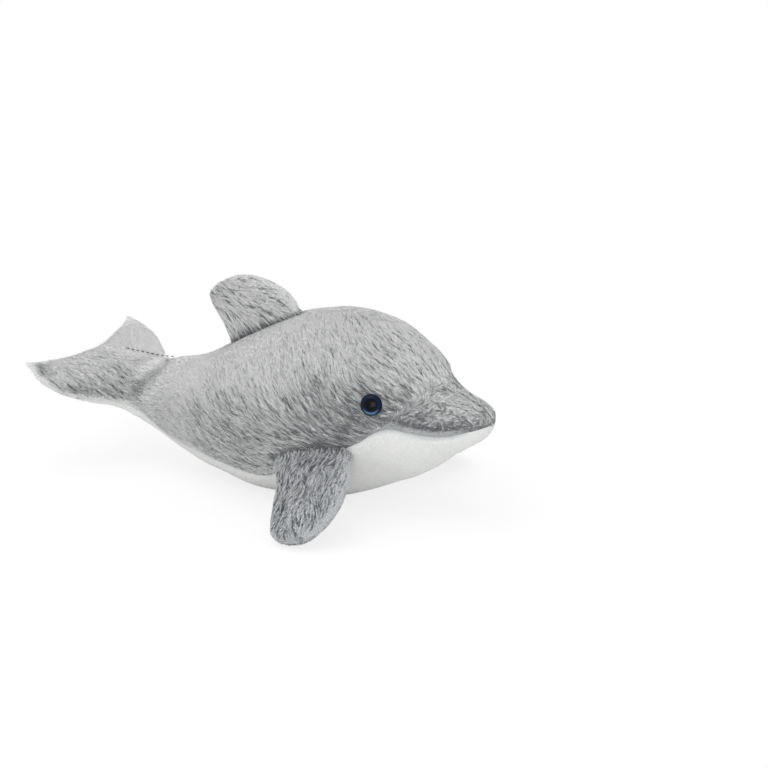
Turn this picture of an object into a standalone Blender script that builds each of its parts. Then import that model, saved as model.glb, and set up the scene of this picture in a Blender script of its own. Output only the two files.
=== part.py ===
"""A sewn plush dolphin that lies on its belly.

The skin is cut like the real pattern: two grey side panels that meet along the back and carry the tops
of the flukes, and one white belly panel that runs from the chin to the undersides of the flukes. The
back fin and the two flippers are small stuffed blades of two panels each, the fibre filling is solid,
and each eye is a plastic dome whose shank goes through the panel into a locking washer.

The frame: +X is where the beak points, +Y is the animal's left, +Z is up, and the floor is z = 0.
"""
import math

import bmesh
import bpy
from mathutils import Matrix, Vector

# Overall sizes of the body, in metres
BODY_LENGTH = 0.242
BODY_HEIGHT = 0.0958
BODY_WIDTH = 0.088
FLUKE_SPAN = 0.106
FLUKE_SWEEP = 0.0085
FLUKE_RISE = 0.0065
TAIL_BEND = math.radians(4.0)
TAIL_ROLL = math.radians(2.0)
BEAK_ROUNDING = 0.011

# Cloth and filling
CLOTH = 0.0018
SEAM_GAP = 0.0003
FILL_GAP = 0.0011

# Back fin: its foot slopes with the back from its rear end, and its height is square to its foot
FIN_CHORD = 0.0485
FIN_HEIGHT = 0.0298
FIN_THICKNESS = 0.0115
FIN_REAR = -0.0290

# Flippers: the root lies along the side seam
FLIPPER_CHORD = 0.042
FLIPPER_LENGTH = 0.050
FLIPPER_THICKNESS = 0.0135
FLIPPER_PLACE = 0.0432
FLIPPER_HEIGHT = 0.0315
FLIPPER_DROOP = math.radians(35.3)
FLIPPER_SWEEP = math.radians(11.0)
FLIPPER_TILT = math.radians(11.5)
FLOOR_GAP = 0.0002

# Plastic eyes with a shank and a locking washer
EYE_DIAMETER = 0.0106
EYE_DOME = 0.0031
EYE_PLACE = 0.0730
EYE_HEIGHT = 0.0622
SHANK_DIAMETER = 0.0038
SHANK_LENGTH = 0.0110
WASHER_DIAMETER = 0.0115
WASHER_THICKNESS = 0.0012
SLIP = 0.0003

# Facets along and round the pieces, and how far the body's rows crowd towards its two ends
BODY_ROWS = 36
CROWDING_SHARE = 0.45
SIDE_COLUMNS = 9
BELLY_COLUMNS = 11
BLADE_ROWS = 9
BLADE_COLUMNS = 7
TURN_STEPS = 20

# Body stations from the beak (0) to the notch between the flukes (1): how high the back and the belly
# are as shares of the body's height, how wide the body is as a share of its width or of the flukes'
# span, and how far up the section it is widest. The belly sinks below 0 where the toy's weight presses
# it flat.
STATIONS = (
    (0.000, 0.635, 0.455, 0.26, 0.50),
    (0.035, 0.650, 0.428, 0.29, 0.46),
    (0.087, 0.688, 0.343, 0.38, 0.48),
    (0.108, 0.718, 0.305, 0.43, 0.51),
    (0.130, 0.765, 0.267, 0.50, 0.52),
    (0.169, 0.862, 0.203, 0.62, 0.52),
    (0.215, 0.930, 0.152, 0.73, 0.52),
    (0.276, 0.985, 0.083, 0.85, 0.52),
    (0.357, 0.997, 0.010, 0.96, 0.52),
    (0.447, 0.957, -0.016, 1.00, 0.52),
    (0.538, 0.862, -0.014, 0.94, 0.52),
    (0.629, 0.730, 0.022, 0.78, 0.52),
    (0.711, 0.620, 0.064, 0.58, 0.51),
    (0.785, 0.570, 0.122, 0.41, 0.46),
    (0.830, 0.562, 0.190, 0.39, 0.37),
    (0.865, 0.562, 0.280, 0.55, 0.21),
    (0.900, 0.564, 0.325, 0.78, 0.14),
    (0.940, 0.566, 0.375, 0.97, 0.14),
    (0.975, 0.560, 0.438, 1.00, 0.28),
    (1.000, 0.530, 0.505, 0.93, 0.40),
)
# The seam between grey and white, as degrees round from the middle of the back
SEAM_TURN = (
    (0.00, 98.0),
    (0.10, 99.0),
    (0.16, 95.0),
    (0.19, 95.0),
    (0.25, 108.0),
    (0.335, 115.0),
    (0.415, 123.0),
    (0.475, 132.0),
    (0.59, 129.0),
    (0.71, 130.0),
    (0.79, 134.0),
    (0.85, 92.0),
    (0.88, 90.0),
    (1.00, 90.0),
)
# Stations where the flukes start, how soon they take over the span, and where the tail's bend comes in
FLUKE_SHARE = 0.79
FLUKE_GROWTH_SHARE = 0.10
BEND_SHARES = (0.70, 0.86)
# The step along the body over which the slope of the flukes' front edge is measured
SLOPE_STEP_SHARE = 0.005
# The beak's first section is this far along the body, so that it isn't a bare point
TIP_SHARE = 0.00015
# Blade outlines from the front root round the tip to the rear root, as shares of half the chord and of
# the blade's height
FIN_OUTLINE = (
    (1.00, 0.00),
    (0.88, 0.40),
    (0.50, 0.76),
    (0.04, 0.95),
    (-0.42, 1.00),
    (-0.84, 0.93),
    (-0.97, 0.74),
    (-0.92, 0.38),
    (-0.93, 0.00),
)
FLIPPER_OUTLINE = (
    (1.00, 0.00),
    (1.23, 0.26),
    (1.26, 0.52),
    (1.08, 0.78),
    (0.50, 0.98),
    (-0.26, 0.95),
    (-0.50, 0.68),
    (-0.66, 0.30),
    (-1.00, 0.00),
)
# Shares of a blade's length: where its panels end, and where its filling starts and ends
BLADE_SHARE = 0.955
BLADE_FILL_SHARES = (0.07, 0.90)
# The exponent that rounds a blade's section, from 1 for a pure ellipse down to flatter ones
BLADE_FULLNESS = 0.8


def through(table, place, column=1):
    """A smooth value between a table's rows, by a cubic with the slopes of the neighbouring rows."""
    last = len(table) - 1
    row = 0
    while row < last - 1 and place > table[row + 1][0]:
        row += 1

    def slope(index):
        low = table[max(index - 1, 0)]
        high = table[min(index + 1, last)]
        return (high[column] - low[column]) / (high[0] - low[0])

    start, end = table[row], table[row + 1]
    run = end[0] - start[0]
    t = (place - start[0]) / run
    value = (2 * t ** 3 - 3 * t ** 2 + 1) * start[column] + (3 * t ** 2 - 2 * t ** 3) * end[column]
    value += (t ** 3 - 2 * t ** 2 + t) * run * slope(row) + (t ** 3 - t ** 2) * run * slope(row + 1)
    return value


def inset(size, depth):
    """A half size brought in by a depth, which never turns inside out where the body is thin."""
    return size * size / (size + depth)


def beak_x():
    """Where the beak's tip lies, so that the toy with its bent tail is centred on the origin."""
    return BODY_LENGTH / 2 + FLUKE_SPAN / 4 * math.sin(TAIL_BEND)


def station_of(place_x):
    """The body station (0 at the beak, 1 at the notch) that lies at a place along X."""
    return (beak_x() - place_x) / (BODY_LENGTH - FLUKE_SWEEP)


def body_x_of(station):
    """Where a station of the body lies along X, before the tail is bent."""
    return beak_x() - station * (BODY_LENGTH - FLUKE_SWEEP)


def bent(spot, station):
    """Turns a point of the tail to the animal's right and lifts its right fluke, more and more to the rear."""
    start, end = BEND_SHARES
    share = min(max((station - start) / (end - start), 0.0), 1.0)
    share = share * share * (3.0 - 2.0 * share)
    turn = Matrix.Rotation(TAIL_BEND * share, 4, "Z") @ Matrix.Rotation(-TAIL_ROLL * share, 4, "X")
    pivot = Vector((body_x_of((start + end) / 2), 0.0, BODY_HEIGHT / 2))
    return pivot + turn @ (spot - pivot)


def body_section(station):
    """Half width, back, belly and widest height of the body at a station, and how far its ends sweep."""
    fluke = min(max((station - FLUKE_SHARE) / FLUKE_GROWTH_SHARE, 0.0), 1.0)
    across = BODY_WIDTH + (FLUKE_SPAN - BODY_WIDTH) * fluke
    half_width = through(STATIONS, station, 3) * across / 2
    back = through(STATIONS, station, 1) * BODY_HEIGHT
    belly = through(STATIONS, station, 2) * BODY_HEIGHT
    widest = belly + (back - belly) * through(STATIONS, station, 4)
    sweep = FLUKE_SWEEP * max(station - FLUKE_SHARE, 0.0) / (1.0 - FLUKE_SHARE)
    closing = min((station + TIP_SHARE) * (BODY_LENGTH - FLUKE_SWEEP) / BEAK_ROUNDING, 1.0)
    closing = math.sqrt(1.0 - (1.0 - closing) ** 2)
    half_width *= closing
    back = widest + (back - widest) * closing
    belly = widest + (belly - widest) * closing
    return half_width, back, belly, widest, sweep


def front_slope(station):
    """How fast the flukes' front edge runs outwards as it runs back; 0 where the body doesn't widen."""
    if station < FLUKE_SHARE:
        return 0.0
    before = body_section(station - SLOPE_STEP_SHARE)[0]
    after = body_section(station + SLOPE_STEP_SHARE)[0]
    return max((after - before) / (2 * SLOPE_STEP_SHARE * (BODY_LENGTH - FLUKE_SWEEP)), 0.0)


def body_point(station, turn, depth):
    """A point at a depth under the skin; turn runs from the back (0) by the left side to the belly (pi).

    Deeper points also lie nearer the middle of the toy, and under the flukes' slanting front edge they
    are brought in further, so that the cloth keeps its thickness there.
    """
    half_width, back, belly, widest, sweep = body_section(station)
    x = body_x_of(station) - sweep * abs(math.sin(turn)) ** 1.5
    closer = 2 * depth * x / BODY_LENGTH
    slope = front_slope(station)
    reach = inset(half_width, depth * math.hypot(1.0, slope))
    rise = inset(back - widest, depth) if math.cos(turn) > 0 else inset(widest - belly, depth)
    y = reach * math.sin(turn)
    lift = FLUKE_RISE * max(station - FLUKE_SHARE, 0.0) / (1.0 - FLUKE_SHARE) * math.sin(turn) ** 2
    z = max(widest + rise * math.cos(turn) + lift, depth)
    return bent(Vector((x - closer, y, z)), station)


def seam_turn(station):
    """Where the side seam runs at a station, as a turn from the middle of the back."""
    return math.radians(through(SEAM_TURN, station))


def seam_clearance(station, turn):
    """The turn that half the seam gap takes up at a point of the skin."""
    half_width, back, belly, widest, _ = body_section(station)
    height = back - widest if math.cos(turn) > 0 else widest - belly
    return SEAM_GAP / 2 / math.hypot(half_width * math.cos(turn), height * math.sin(turn))


def station_at(along):
    """Spreads the rows of facets, which lie closer together at the beak and along the flukes' edge."""
    return along - CROWDING_SHARE * math.sin(2 * math.pi * along) / (2 * math.pi)


def body_side(x, z):
    """How far the body's flank reaches from the middle at a place along X and a height."""
    half_width, back, belly, widest, _ = body_section(station_of(x))
    height = back - widest if z > widest else widest - belly
    share = abs(z - widest) / height
    return half_width * math.sqrt(1 - share * share)


def body_top(x, y):
    """How high the body's back is at a place along X and a distance from the middle."""
    half_width, back, _, widest, _ = body_section(station_of(x))
    return widest + (back - widest) * math.sqrt(1 - (y / half_width) ** 2)


def material(name, colour, roughness):
    """A plain Principled material."""
    made = bpy.data.materials.new(name)
    made.use_nodes = True
    shader = made.node_tree.nodes["Principled BSDF"]
    shader.inputs["Base Color"].default_value = (*colour, 1.0)
    shader.inputs["Roughness"].default_value = roughness
    shader.inputs["Metallic"].default_value = 0.0
    return made


def add_object(name, bm, surface):
    """Turns a bmesh into one named object of the toy."""
    bmesh.ops.remove_doubles(bm, verts=bm.verts, dist=0.000002)
    bmesh.ops.recalc_face_normals(bm, faces=bm.faces)
    mesh = bpy.data.meshes.new(name)
    bm.to_mesh(mesh)
    bm.free()
    mesh.shade_smooth()
    mesh.set_sharp_from_angle(angle=math.radians(50))
    made = bpy.data.objects.new(name, mesh)
    made.data.materials.append(surface)
    PARTS.objects.link(made)
    return made


def cloth_panel(name, rows, columns, point, surface):
    """A sewn panel: an outer and an inner sheet of one grid, joined all round their edges."""
    bm = bmesh.new()
    for depth in (0.0, CLOTH):
        grid = bmesh.ops.create_grid(bm, x_segments=columns, y_segments=rows, size=0.5)
        for vertex in grid["verts"]:
            vertex.co = point(vertex.co.y + 0.5, vertex.co.x + 0.5, depth)
    rim = [edge for edge in bm.edges if edge.is_boundary]
    bmesh.ops.bridge_loops(bm, edges=rim)
    return add_object(name, bm, surface)


def filling(name, rows, columns, point, surface):
    """Fibre filling: a ball whose rings take the shape of the skin's sections, one depth further in."""
    bm = bmesh.new()
    ball = bmesh.ops.create_uvsphere(bm, u_segments=columns, v_segments=rows, radius=1.0)
    for vertex in ball["verts"]:
        along = math.acos(max(-1.0, min(1.0, vertex.co.z))) / math.pi
        turn = math.atan2(vertex.co.y, vertex.co.x)
        vertex.co = point(along, turn, CLOTH + FILL_GAP)
    return add_object(name, bm, surface)


def side_panel(side):
    """A grey panel from the back's seam down to the side seam, with the top of one fluke."""
    def point(along, across, depth):
        station = station_at(along)
        last = seam_turn(station)
        last -= seam_clearance(station, last)
        spot = body_point(station, side * across * last, depth)
        spot.y += side * SEAM_GAP / 2
        return spot
    name = "side_panel_left" if side > 0 else "side_panel_right"
    return cloth_panel(name, BODY_ROWS, SIDE_COLUMNS, point, GREY_PLUSH)


def belly_panel():
    """The white panel from the chin along the belly to the undersides of the flukes."""
    def point(along, across, depth):
        station = station_at(along)
        first = seam_turn(station)
        first += seam_clearance(station, first)
        return body_point(station, first + across * 2 * (math.pi - first), depth)
    return cloth_panel("belly_panel", BODY_ROWS, BELLY_COLUMNS, point, WHITE_PLUSH)


def body_filling():
    """The fibre that fills the body. Its rings lie level with the panels' rows, and it ends in flat caps
    behind the beak's tip and before the flukes' thin edge."""
    first, last = station_at(2 / BODY_ROWS), station_at(1 - 3 / BODY_ROWS)

    def point(along, turn, depth):
        station = station_at(along)
        level = min(max(station, first), last)
        closing = (first - station) / first if station < first else (level - station) / (last - 1)
        middle = bent(Vector((body_x_of(level), 0.0, body_section(level)[3])), level)
        return body_point(level, turn, depth).lerp(middle, closing)
    return filling("body_filling", BODY_ROWS, 2 * BELLY_COLUMNS, point, FIBRE)


class Blade:
    """A flat stuffed limb: an outline in its own plane, a thickness, and a root that lies on the body."""

    def __init__(self, outline, chord, height, thickness, frame, seat):
        shares = [index / (len(outline) - 1) for index in range(len(outline))]
        self.outline = [
            (share, across * chord / 2, up * height) for share, (across, up) in zip(shares, outline)
        ]
        self.thickness = thickness
        self.frame = frame
        self.seat = seat

    def section_point(self, reach, turn, depth):
        """A point of the blade before its root is laid on the body."""
        front = Vector((through(self.outline, reach / 2, 1), through(self.outline, reach / 2, 2)))
        rear = Vector((through(self.outline, 1 - reach / 2, 1), through(self.outline, 1 - reach / 2, 2)))
        chord = (front - rear) / 2
        flat = (front + rear) / 2
        flat += chord.normalized() * inset(chord.length, depth) * math.cos(turn)
        flat.y -= depth * reach
        half = inset(self.thickness / 2 * math.sqrt(1 - reach ** 3), depth)
        swell = math.copysign(abs(math.sin(turn)) ** BLADE_FULLNESS * half, math.sin(turn))
        return self.frame @ Vector((flat.x, flat.y, swell))

    def point(self, reach, turn, depth):
        """A point of the blade; reach runs from root (0) to tip (1), turn round its section."""
        spot = self.section_point(reach, turn, depth)
        root = self.section_point(0.0, turn, depth)
        spot += (self.seat(root) - root) * (1 - reach) ** 1.5
        spot.z = max(spot.z, FLOOR_GAP + depth)
        return spot


def blade_panel(name, blade, face, surface):
    """One of a blade's two panels, seamed along the blade's outline."""
    gap = SEAM_GAP / blade.thickness

    def point(along, across, depth):
        return blade.point(along * BLADE_SHARE, face * (gap + across * (math.pi - 2 * gap)), depth)
    cloth_panel(name, BLADE_ROWS, BLADE_COLUMNS, point, surface)


def blade_filling(name, blade):
    """The fibre between a blade's two panels, which stops short of the body and of the tip."""
    first, last = BLADE_FILL_SHARES

    def point(along, turn, depth):
        reach = first + (last - first) * along
        if along in (0.0, 1.0):
            return (blade.point(reach, 0.0, depth) + blade.point(reach, math.pi, depth)) / 2
        return blade.point(reach, turn, depth)
    filling(name, BLADE_ROWS + 2, 2 * BLADE_COLUMNS, point, FIBRE)


def back_fin():
    """The curved fin on the back, two panels and their filling."""
    rear = Vector((FIN_REAR, 0.0, body_top(FIN_REAR, 0.0)))
    front = Vector((FIN_REAR + FIN_CHORD, 0.0, body_top(FIN_REAR + FIN_CHORD, 0.0)))
    slope = math.atan2(front.z - rear.z, front.x - rear.x)
    along = Vector((math.cos(slope), 0.0, math.sin(slope)))
    upward = Vector((-math.sin(slope), 0.0, math.cos(slope)))
    frame = Matrix.Translation(rear + along * FIN_CHORD / 2)
    frame = frame @ Matrix((along, upward, Vector((0.0, 1.0, 0.0)))).transposed().to_4x4()

    def seat(root):
        return Vector((root.x, root.y, body_top(root.x, root.y) + SEAM_GAP))

    blade = Blade(FIN_OUTLINE, FIN_CHORD, FIN_HEIGHT, FIN_THICKNESS, frame, seat)
    blade_panel("fin_panel_left", blade, 1, GREY_PLUSH)
    blade_panel("fin_panel_right", blade, -1, GREY_PLUSH)
    blade_filling("fin_filling", blade)


def flipper(side):
    """A flipper, two panels and their filling, that comes out of the side seam and droops to the floor."""
    which = "left" if side > 0 else "right"
    along = Vector((math.cos(FLIPPER_TILT), 0.0, math.sin(FLIPPER_TILT)))
    outward = Vector((
        math.sin(FLIPPER_SWEEP) * math.cos(FLIPPER_DROOP),
        side * math.cos(FLIPPER_SWEEP) * math.cos(FLIPPER_DROOP),
        -math.sin(FLIPPER_DROOP),
    ))
    upward = along.cross(outward).normalized() * side
    middle = Vector((FLIPPER_PLACE, side * body_side(FLIPPER_PLACE, FLIPPER_HEIGHT), FLIPPER_HEIGHT))
    frame = Matrix.Translation(middle) @ Matrix((along, outward, upward)).transposed().to_4x4()

    def seat(root):
        return Vector((root.x, side * (body_side(root.x, root.z) + 2 * SEAM_GAP), root.z))

    blade = Blade(FLIPPER_OUTLINE, FLIPPER_CHORD, FLIPPER_LENGTH, FLIPPER_THICKNESS, frame, seat)
    blade_panel(f"flipper_{which}_top", blade, 1, GREY_PLUSH)
    blade_panel(f"flipper_{which}_under", blade, -1, GREY_PLUSH)
    blade_filling(f"flipper_{which}_filling", blade)


def eye_frame(side):
    """Where an eye sits on its side panel, with its Z along the outward normal of the skin there."""
    station = station_of(EYE_PLACE)
    turn = math.pi / 2
    step = 0.01
    for _ in range(40):
        drop = body_point(station, turn, 0.0).z - body_point(station, turn + step, 0.0).z
        turn += step * (body_point(station, turn, 0.0).z - EYE_HEIGHT) / drop
    here = body_point(station, turn, 0.0)
    forward = body_point(station - step, turn, 0.0) - body_point(station + step, turn, 0.0)
    downward = body_point(station, turn + step, 0.0) - body_point(station, turn - step, 0.0)
    outward = forward.cross(downward).normalized()
    if outward.y < 0:
        outward = -outward
    here.y = side * (here.y + SEAM_GAP / 2)
    outward.y *= side
    return Matrix.Translation(here) @ outward.to_track_quat("Z", "Y").to_matrix().to_4x4()


def turned(name, profile, frame, surface):
    """A turned piece from its profile, which runs down the outer side, placed by a frame."""
    bm = bmesh.new()
    corners = [bm.verts.new((radius, 0.0, height)) for radius, height in profile]
    for low, high in zip(corners, corners[1:]):
        bm.edges.new((low, high))
    if profile[0][0] > 0.0:
        bm.edges.new((corners[-1], corners[0]))
    mesh = bpy.data.meshes.new(name)
    bm.to_mesh(mesh)
    bm.free()
    made = bpy.data.objects.new(name, mesh)
    made.data.materials.append(surface)
    made.matrix_world = frame
    screw = made.modifiers.new("Turn", "SCREW")
    screw.steps = TURN_STEPS
    screw.render_steps = TURN_STEPS
    screw.use_merge_vertices = True
    screw.merge_threshold = 0.00001
    screw.use_smooth_shade = True
    PARTS.objects.link(made)
    return made


def drill(piece, radius, start, end, frame):
    """Cuts a round hole through a piece along the eye's axis, between two distances from the skin."""
    bm = bmesh.new()
    bmesh.ops.create_cone(
        bm, cap_ends=True, segments=TURN_STEPS, radius1=radius, radius2=radius, depth=end - start
    )
    bmesh.ops.translate(bm, verts=bm.verts, vec=(0.0, 0.0, (start + end) / 2))
    mesh = bpy.data.meshes.new(piece.name + "_hole")
    bm.to_mesh(mesh)
    bm.free()
    cutter = bpy.data.objects.new(mesh.name, mesh)
    cutter.matrix_world = frame
    cutter.hide_render = True
    cutter.display_type = "WIRE"
    CUTTERS.objects.link(cutter)
    cut = piece.modifiers.new("Hole", "BOOLEAN")
    cut.operation = "DIFFERENCE"
    cut.solver = "EXACT"
    cut.object = cutter


def eye(side, panel, body_fill):
    """A plastic eye with its shank through the panel, and the washer that locks it from inside."""
    which = "left" if side > 0 else "right"
    frame = eye_frame(side)
    radius = EYE_DIAMETER / 2
    shank = SHANK_DIAMETER / 2
    steps = 6
    dome = [
        (radius * math.sin(math.pi / 2 * step / steps), EYE_DOME * math.cos(math.pi / 2 * step / steps))
        for step in range(steps)
    ]
    rim = SEAM_GAP + EYE_DOME * 0.2
    profile = [(across, rim + up * (EYE_DOME - rim) / EYE_DOME) for across, up in dome]
    profile += [(radius, rim), (radius * 0.94, SEAM_GAP), (shank, SEAM_GAP)]
    profile += [(shank, -SHANK_LENGTH + shank * 0.5), (shank * 0.5, -SHANK_LENGTH), (0.0, -SHANK_LENGTH)]
    turned(f"eye_{which}", profile, frame, EYE_PLASTIC)

    washer = WASHER_DIAMETER / 2
    top = -CLOTH - 4 * SLIP
    bottom = top - WASHER_THICKNESS
    ring = [(shank + SLIP, top), (washer, top), (washer, bottom), (shank + SLIP, bottom)]
    turned(f"eye_washer_{which}", ring, frame, WASHER_PLASTIC)

    drill(panel, shank + SLIP, -3 * CLOTH, 2 * CLOTH, frame)
    drill(body_fill, washer + SLIP, -SHANK_LENGTH - 2 * SLIP, 2 * CLOTH, frame)


for leftover in list(bpy.data.objects):
    bpy.data.objects.remove(leftover, do_unlink=True)

PARTS = bpy.data.collections.new("plush_dolphin")
CUTTERS = bpy.data.collections.new("cutters")
bpy.context.scene.collection.children.link(PARTS)
bpy.context.scene.collection.children.link(CUTTERS)

GREY_PLUSH = material("grey_plush", (0.42, 0.43, 0.44), 0.95)
WHITE_PLUSH = material("white_plush", (0.80, 0.80, 0.78), 0.95)
FIBRE = material("fibre", (0.85, 0.85, 0.84), 1.0)
EYE_PLASTIC = material("eye_plastic", (0.010, 0.018, 0.060), 0.12)
WASHER_PLASTIC = material("washer_plastic", (0.75, 0.75, 0.73), 0.45)

body_fill = body_filling()
belly_panel()
for side in (1, -1):
    eye(side, side_panel(side), body_fill)
    flipper(side)
back_fin()
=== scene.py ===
"""Dresses the sewn plush dolphin: napped skins, locks of pile, glossy eyes, stitches and a white studio.

Lengths are metres. +X is where the beak points, +Y is the animal's left, +Z is up and the floor is at 0.
Four kinds of panel are covered: the grey sides, the white belly, the fin and the flippers.
"""

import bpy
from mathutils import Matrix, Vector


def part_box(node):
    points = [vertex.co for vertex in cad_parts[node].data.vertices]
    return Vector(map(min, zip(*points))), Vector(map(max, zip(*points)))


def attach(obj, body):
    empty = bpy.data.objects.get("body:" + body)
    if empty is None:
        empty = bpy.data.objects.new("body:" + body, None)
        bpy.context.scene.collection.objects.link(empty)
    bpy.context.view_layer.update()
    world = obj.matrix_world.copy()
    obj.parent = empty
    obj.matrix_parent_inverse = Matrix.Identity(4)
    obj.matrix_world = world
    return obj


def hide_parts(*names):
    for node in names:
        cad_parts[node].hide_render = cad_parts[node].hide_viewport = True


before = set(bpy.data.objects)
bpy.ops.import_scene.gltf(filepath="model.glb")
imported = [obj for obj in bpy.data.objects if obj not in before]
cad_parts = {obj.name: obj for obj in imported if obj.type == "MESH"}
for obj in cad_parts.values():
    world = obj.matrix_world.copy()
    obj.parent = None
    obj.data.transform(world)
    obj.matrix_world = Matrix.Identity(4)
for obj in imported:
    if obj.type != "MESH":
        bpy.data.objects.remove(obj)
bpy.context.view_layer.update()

import math
from typing import Callable, NamedTuple

import bmesh
import bpy
import numpy as np
from bpy.props import FloatProperty, FloatVectorProperty, IntProperty, PointerProperty
from mathutils import Vector, noise
from mathutils.bvhtree import BVHTree

bl_info = {
    "name": "Plush Dolphin",
    "version": (1, 0, 0),
    "blender": (4, 5, 0),
    "location": "3D View > Sidebar > Plush",
    "description": "Napped skins, pile, eyes and stitches for a sewn plush dolphin",
    "category": "Object",
}

BODY_PANELS = ("side_panel_left", "side_panel_right", "belly_panel")
FIN_PANELS = ("fin_panel_left", "fin_panel_right")
SIDES = (("left", "right"), ("right", "left"))


def flipper_panels(side):
    """The names of one flipper's two panels."""
    return f"flipper_{side}_top", f"flipper_{side}_under"


class PlushCloth(bpy.types.PropertyGroup):
    """How the sewn cloth sits under its pile."""

    nap_depth: FloatProperty(
        name="Nap depth", description="How far the cloth lies under the tips of the grey pile",
        default=0.0007, min=0.0, unit="LENGTH",
    )
    short_nap_depth: FloatProperty(
        name="Short nap depth",
        description="How far the cloth lies under the tips of the white pile",
        default=0.0004, min=0.0, unit="LENGTH",
    )
    thickness: FloatProperty(
        name="Cloth thickness", description="Thickness of the knitted backing",
        default=0.0004, min=0.0001, unit="LENGTH",
    )
    seam_depth: FloatProperty(
        name="Seam depth", description="How far a seam pulls the body's cloth in",
        default=0.0009, min=0.0, unit="LENGTH",
    )
    blade_depth: FloatProperty(
        name="Blade nap depth",
        description="How far the cloth of the fin and flippers lies under their pile",
        default=0.0002, min=0.0, unit="LENGTH",
    )
    blade_seam_depth: FloatProperty(
        name="Blade seam depth",
        description="How far a seam pulls in the cloth of the fin and flippers",
        default=0.0003, min=0.0, unit="LENGTH",
    )
    thickness_share: FloatProperty(
        name="Share of thickness",
        description="How much of a thin place's thickness the cloth may sink in",
        default=0.3, min=0.0, max=0.5,
    )
    seam_gap: FloatProperty(
        name="Seam gap",
        description="How far apart two panels lie before their seam is drawn closed",
        default=0.0004, min=0.0001, unit="LENGTH",
    )
    widest_gap: FloatProperty(
        name="Widest gap",
        description="How far apart two panels' rims may lie and still be sewn together",
        default=0.0028, min=0.0001, unit="LENGTH",
    )
    seam_reach: FloatProperty(
        name="Seam reach", description="How far from a seam the cloth starts to turn in",
        default=0.0024, min=0.0001, unit="LENGTH",
    )
    lump_height: FloatProperty(
        name="Lump height", description="How far the filling pushes lumps into the cloth",
        default=0.0006, min=0.0, unit="LENGTH",
    )
    lump_size: FloatProperty(
        name="Lump size", description="How far apart the filling's lumps are",
        default=0.016, min=0.001, unit="LENGTH",
    )
    crease_depth: FloatProperty(
        name="Crease depth",
        description="Depth of the creases at the flukes' root and behind the beak",
        default=0.0024, min=0.0, unit="LENGTH",
    )
    crease_reach: FloatProperty(
        name="Crease reach", description="Half width of those creases",
        default=0.0036, min=0.0001, unit="LENGTH",
    )
    filling_gap: FloatProperty(
        name="Filling gap", description="How near the cloth comes to the filling at its deepest",
        default=0.0006, min=0.0001, unit="LENGTH",
    )
    root_sink: FloatProperty(
        name="Root sink", description="How deep the foot of the fin or a flipper sinks in the body",
        default=0.0022, min=0.0, unit="LENGTH",
    )
    far_tuck: FloatProperty(
        name="Far flipper's tuck",
        description="How far the left flipper lies back from its sewn shape",
        default=0.0018, min=0.0, unit="LENGTH",
    )
    root_reach: FloatProperty(
        name="Root reach",
        description="How far from the body the fin and the flippers start to turn to it",
        default=0.0050, min=0.0001, unit="LENGTH",
    )
    socket_depth: FloatProperty(
        name="Eye socket depth", description="How far an eye's washer pulls the cloth in",
        default=0.0010, min=0.0, unit="LENGTH",
    )


class PlushPile(bpy.types.PropertyGroup):
    """The locks of pile."""

    length: FloatProperty(
        name="Lock length", description="Length of a lock of the grey pile",
        default=0.0042, min=0.0005, unit="LENGTH",
    )
    width: FloatProperty(
        name="Lock width", description="Width of a lock of the grey pile",
        default=0.00042, min=0.0001, unit="LENGTH",
    )
    per_square_centimetre: IntProperty(
        name="Locks per square centimetre", description="How close the grey locks stand",
        default=330, min=1,
    )
    short_length: FloatProperty(
        name="Short lock length", description="Length of a lock of the white pile",
        default=0.0017, min=0.0005, unit="LENGTH",
    )
    short_width: FloatProperty(
        name="Short lock width", description="Width of a lock of the white pile",
        default=0.0006, min=0.0001, unit="LENGTH",
    )
    short_per_square_centimetre: IntProperty(
        name="Short locks per square centimetre", description="How close the white locks stand",
        default=104, min=1,
    )
    root_lean: FloatProperty(
        name="Root lean", description="How steeply a lock leaves the cloth",
        default=math.radians(26), subtype="ANGLE",
    )
    tip_lean: FloatProperty(
        name="Tip lean", description="How steeply a lock ends",
        default=math.radians(-4), subtype="ANGLE",
    )
    ruffle: FloatProperty(
        name="Ruffle", description="How far neighbouring clumps turn away from the nap",
        default=math.radians(12), subtype="ANGLE",
    )
    stray: FloatProperty(
        name="Stray", description="How far single locks turn away from their clump",
        default=math.radians(7), subtype="ANGLE",
    )
    fuzz: FloatProperty(
        name="Fuzz", description="How far the tips of the locks stand out past the toy's shape",
        default=0.0010, min=0.0001, unit="LENGTH",
    )
    streak_width: FloatProperty(
        name="Streak width", description="How wide the strands and the partings between them are",
        default=0.0008, min=0.0001, unit="LENGTH",
    )
    streak_length: FloatProperty(
        name="Streak length", description="How far a strand or a parting runs along the nap",
        default=0.0042, min=0.0001, unit="LENGTH",
    )
    clump_size: FloatProperty(
        name="Clump size", description="How far apart clumps of locks are",
        default=0.0050, min=0.0005, unit="LENGTH",
    )
    seed: IntProperty(name="Seed", description="Picks another arrangement of the same pile", default=7)


class PlushStitches(bpy.types.PropertyGroup):
    """The row of stitches along the middle of the tail."""

    rear: FloatProperty(
        name="Rear end", description="Where the row starts, along the toy",
        default=-0.0915, unit="LENGTH",
    )
    count: IntProperty(name="Count", description="How many stitches show", default=10, min=1)
    spacing: FloatProperty(
        name="Spacing", description="How far each stitch starts behind the next",
        default=0.0030, min=0.0005, unit="LENGTH",
    )
    length: FloatProperty(
        name="Length", description="Length of a stitch", default=0.0021, min=0.0003, unit="LENGTH",
    )
    width: FloatProperty(
        name="Width", description="Width of the thread", default=0.00055, min=0.0001, unit="LENGTH",
    )


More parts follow.
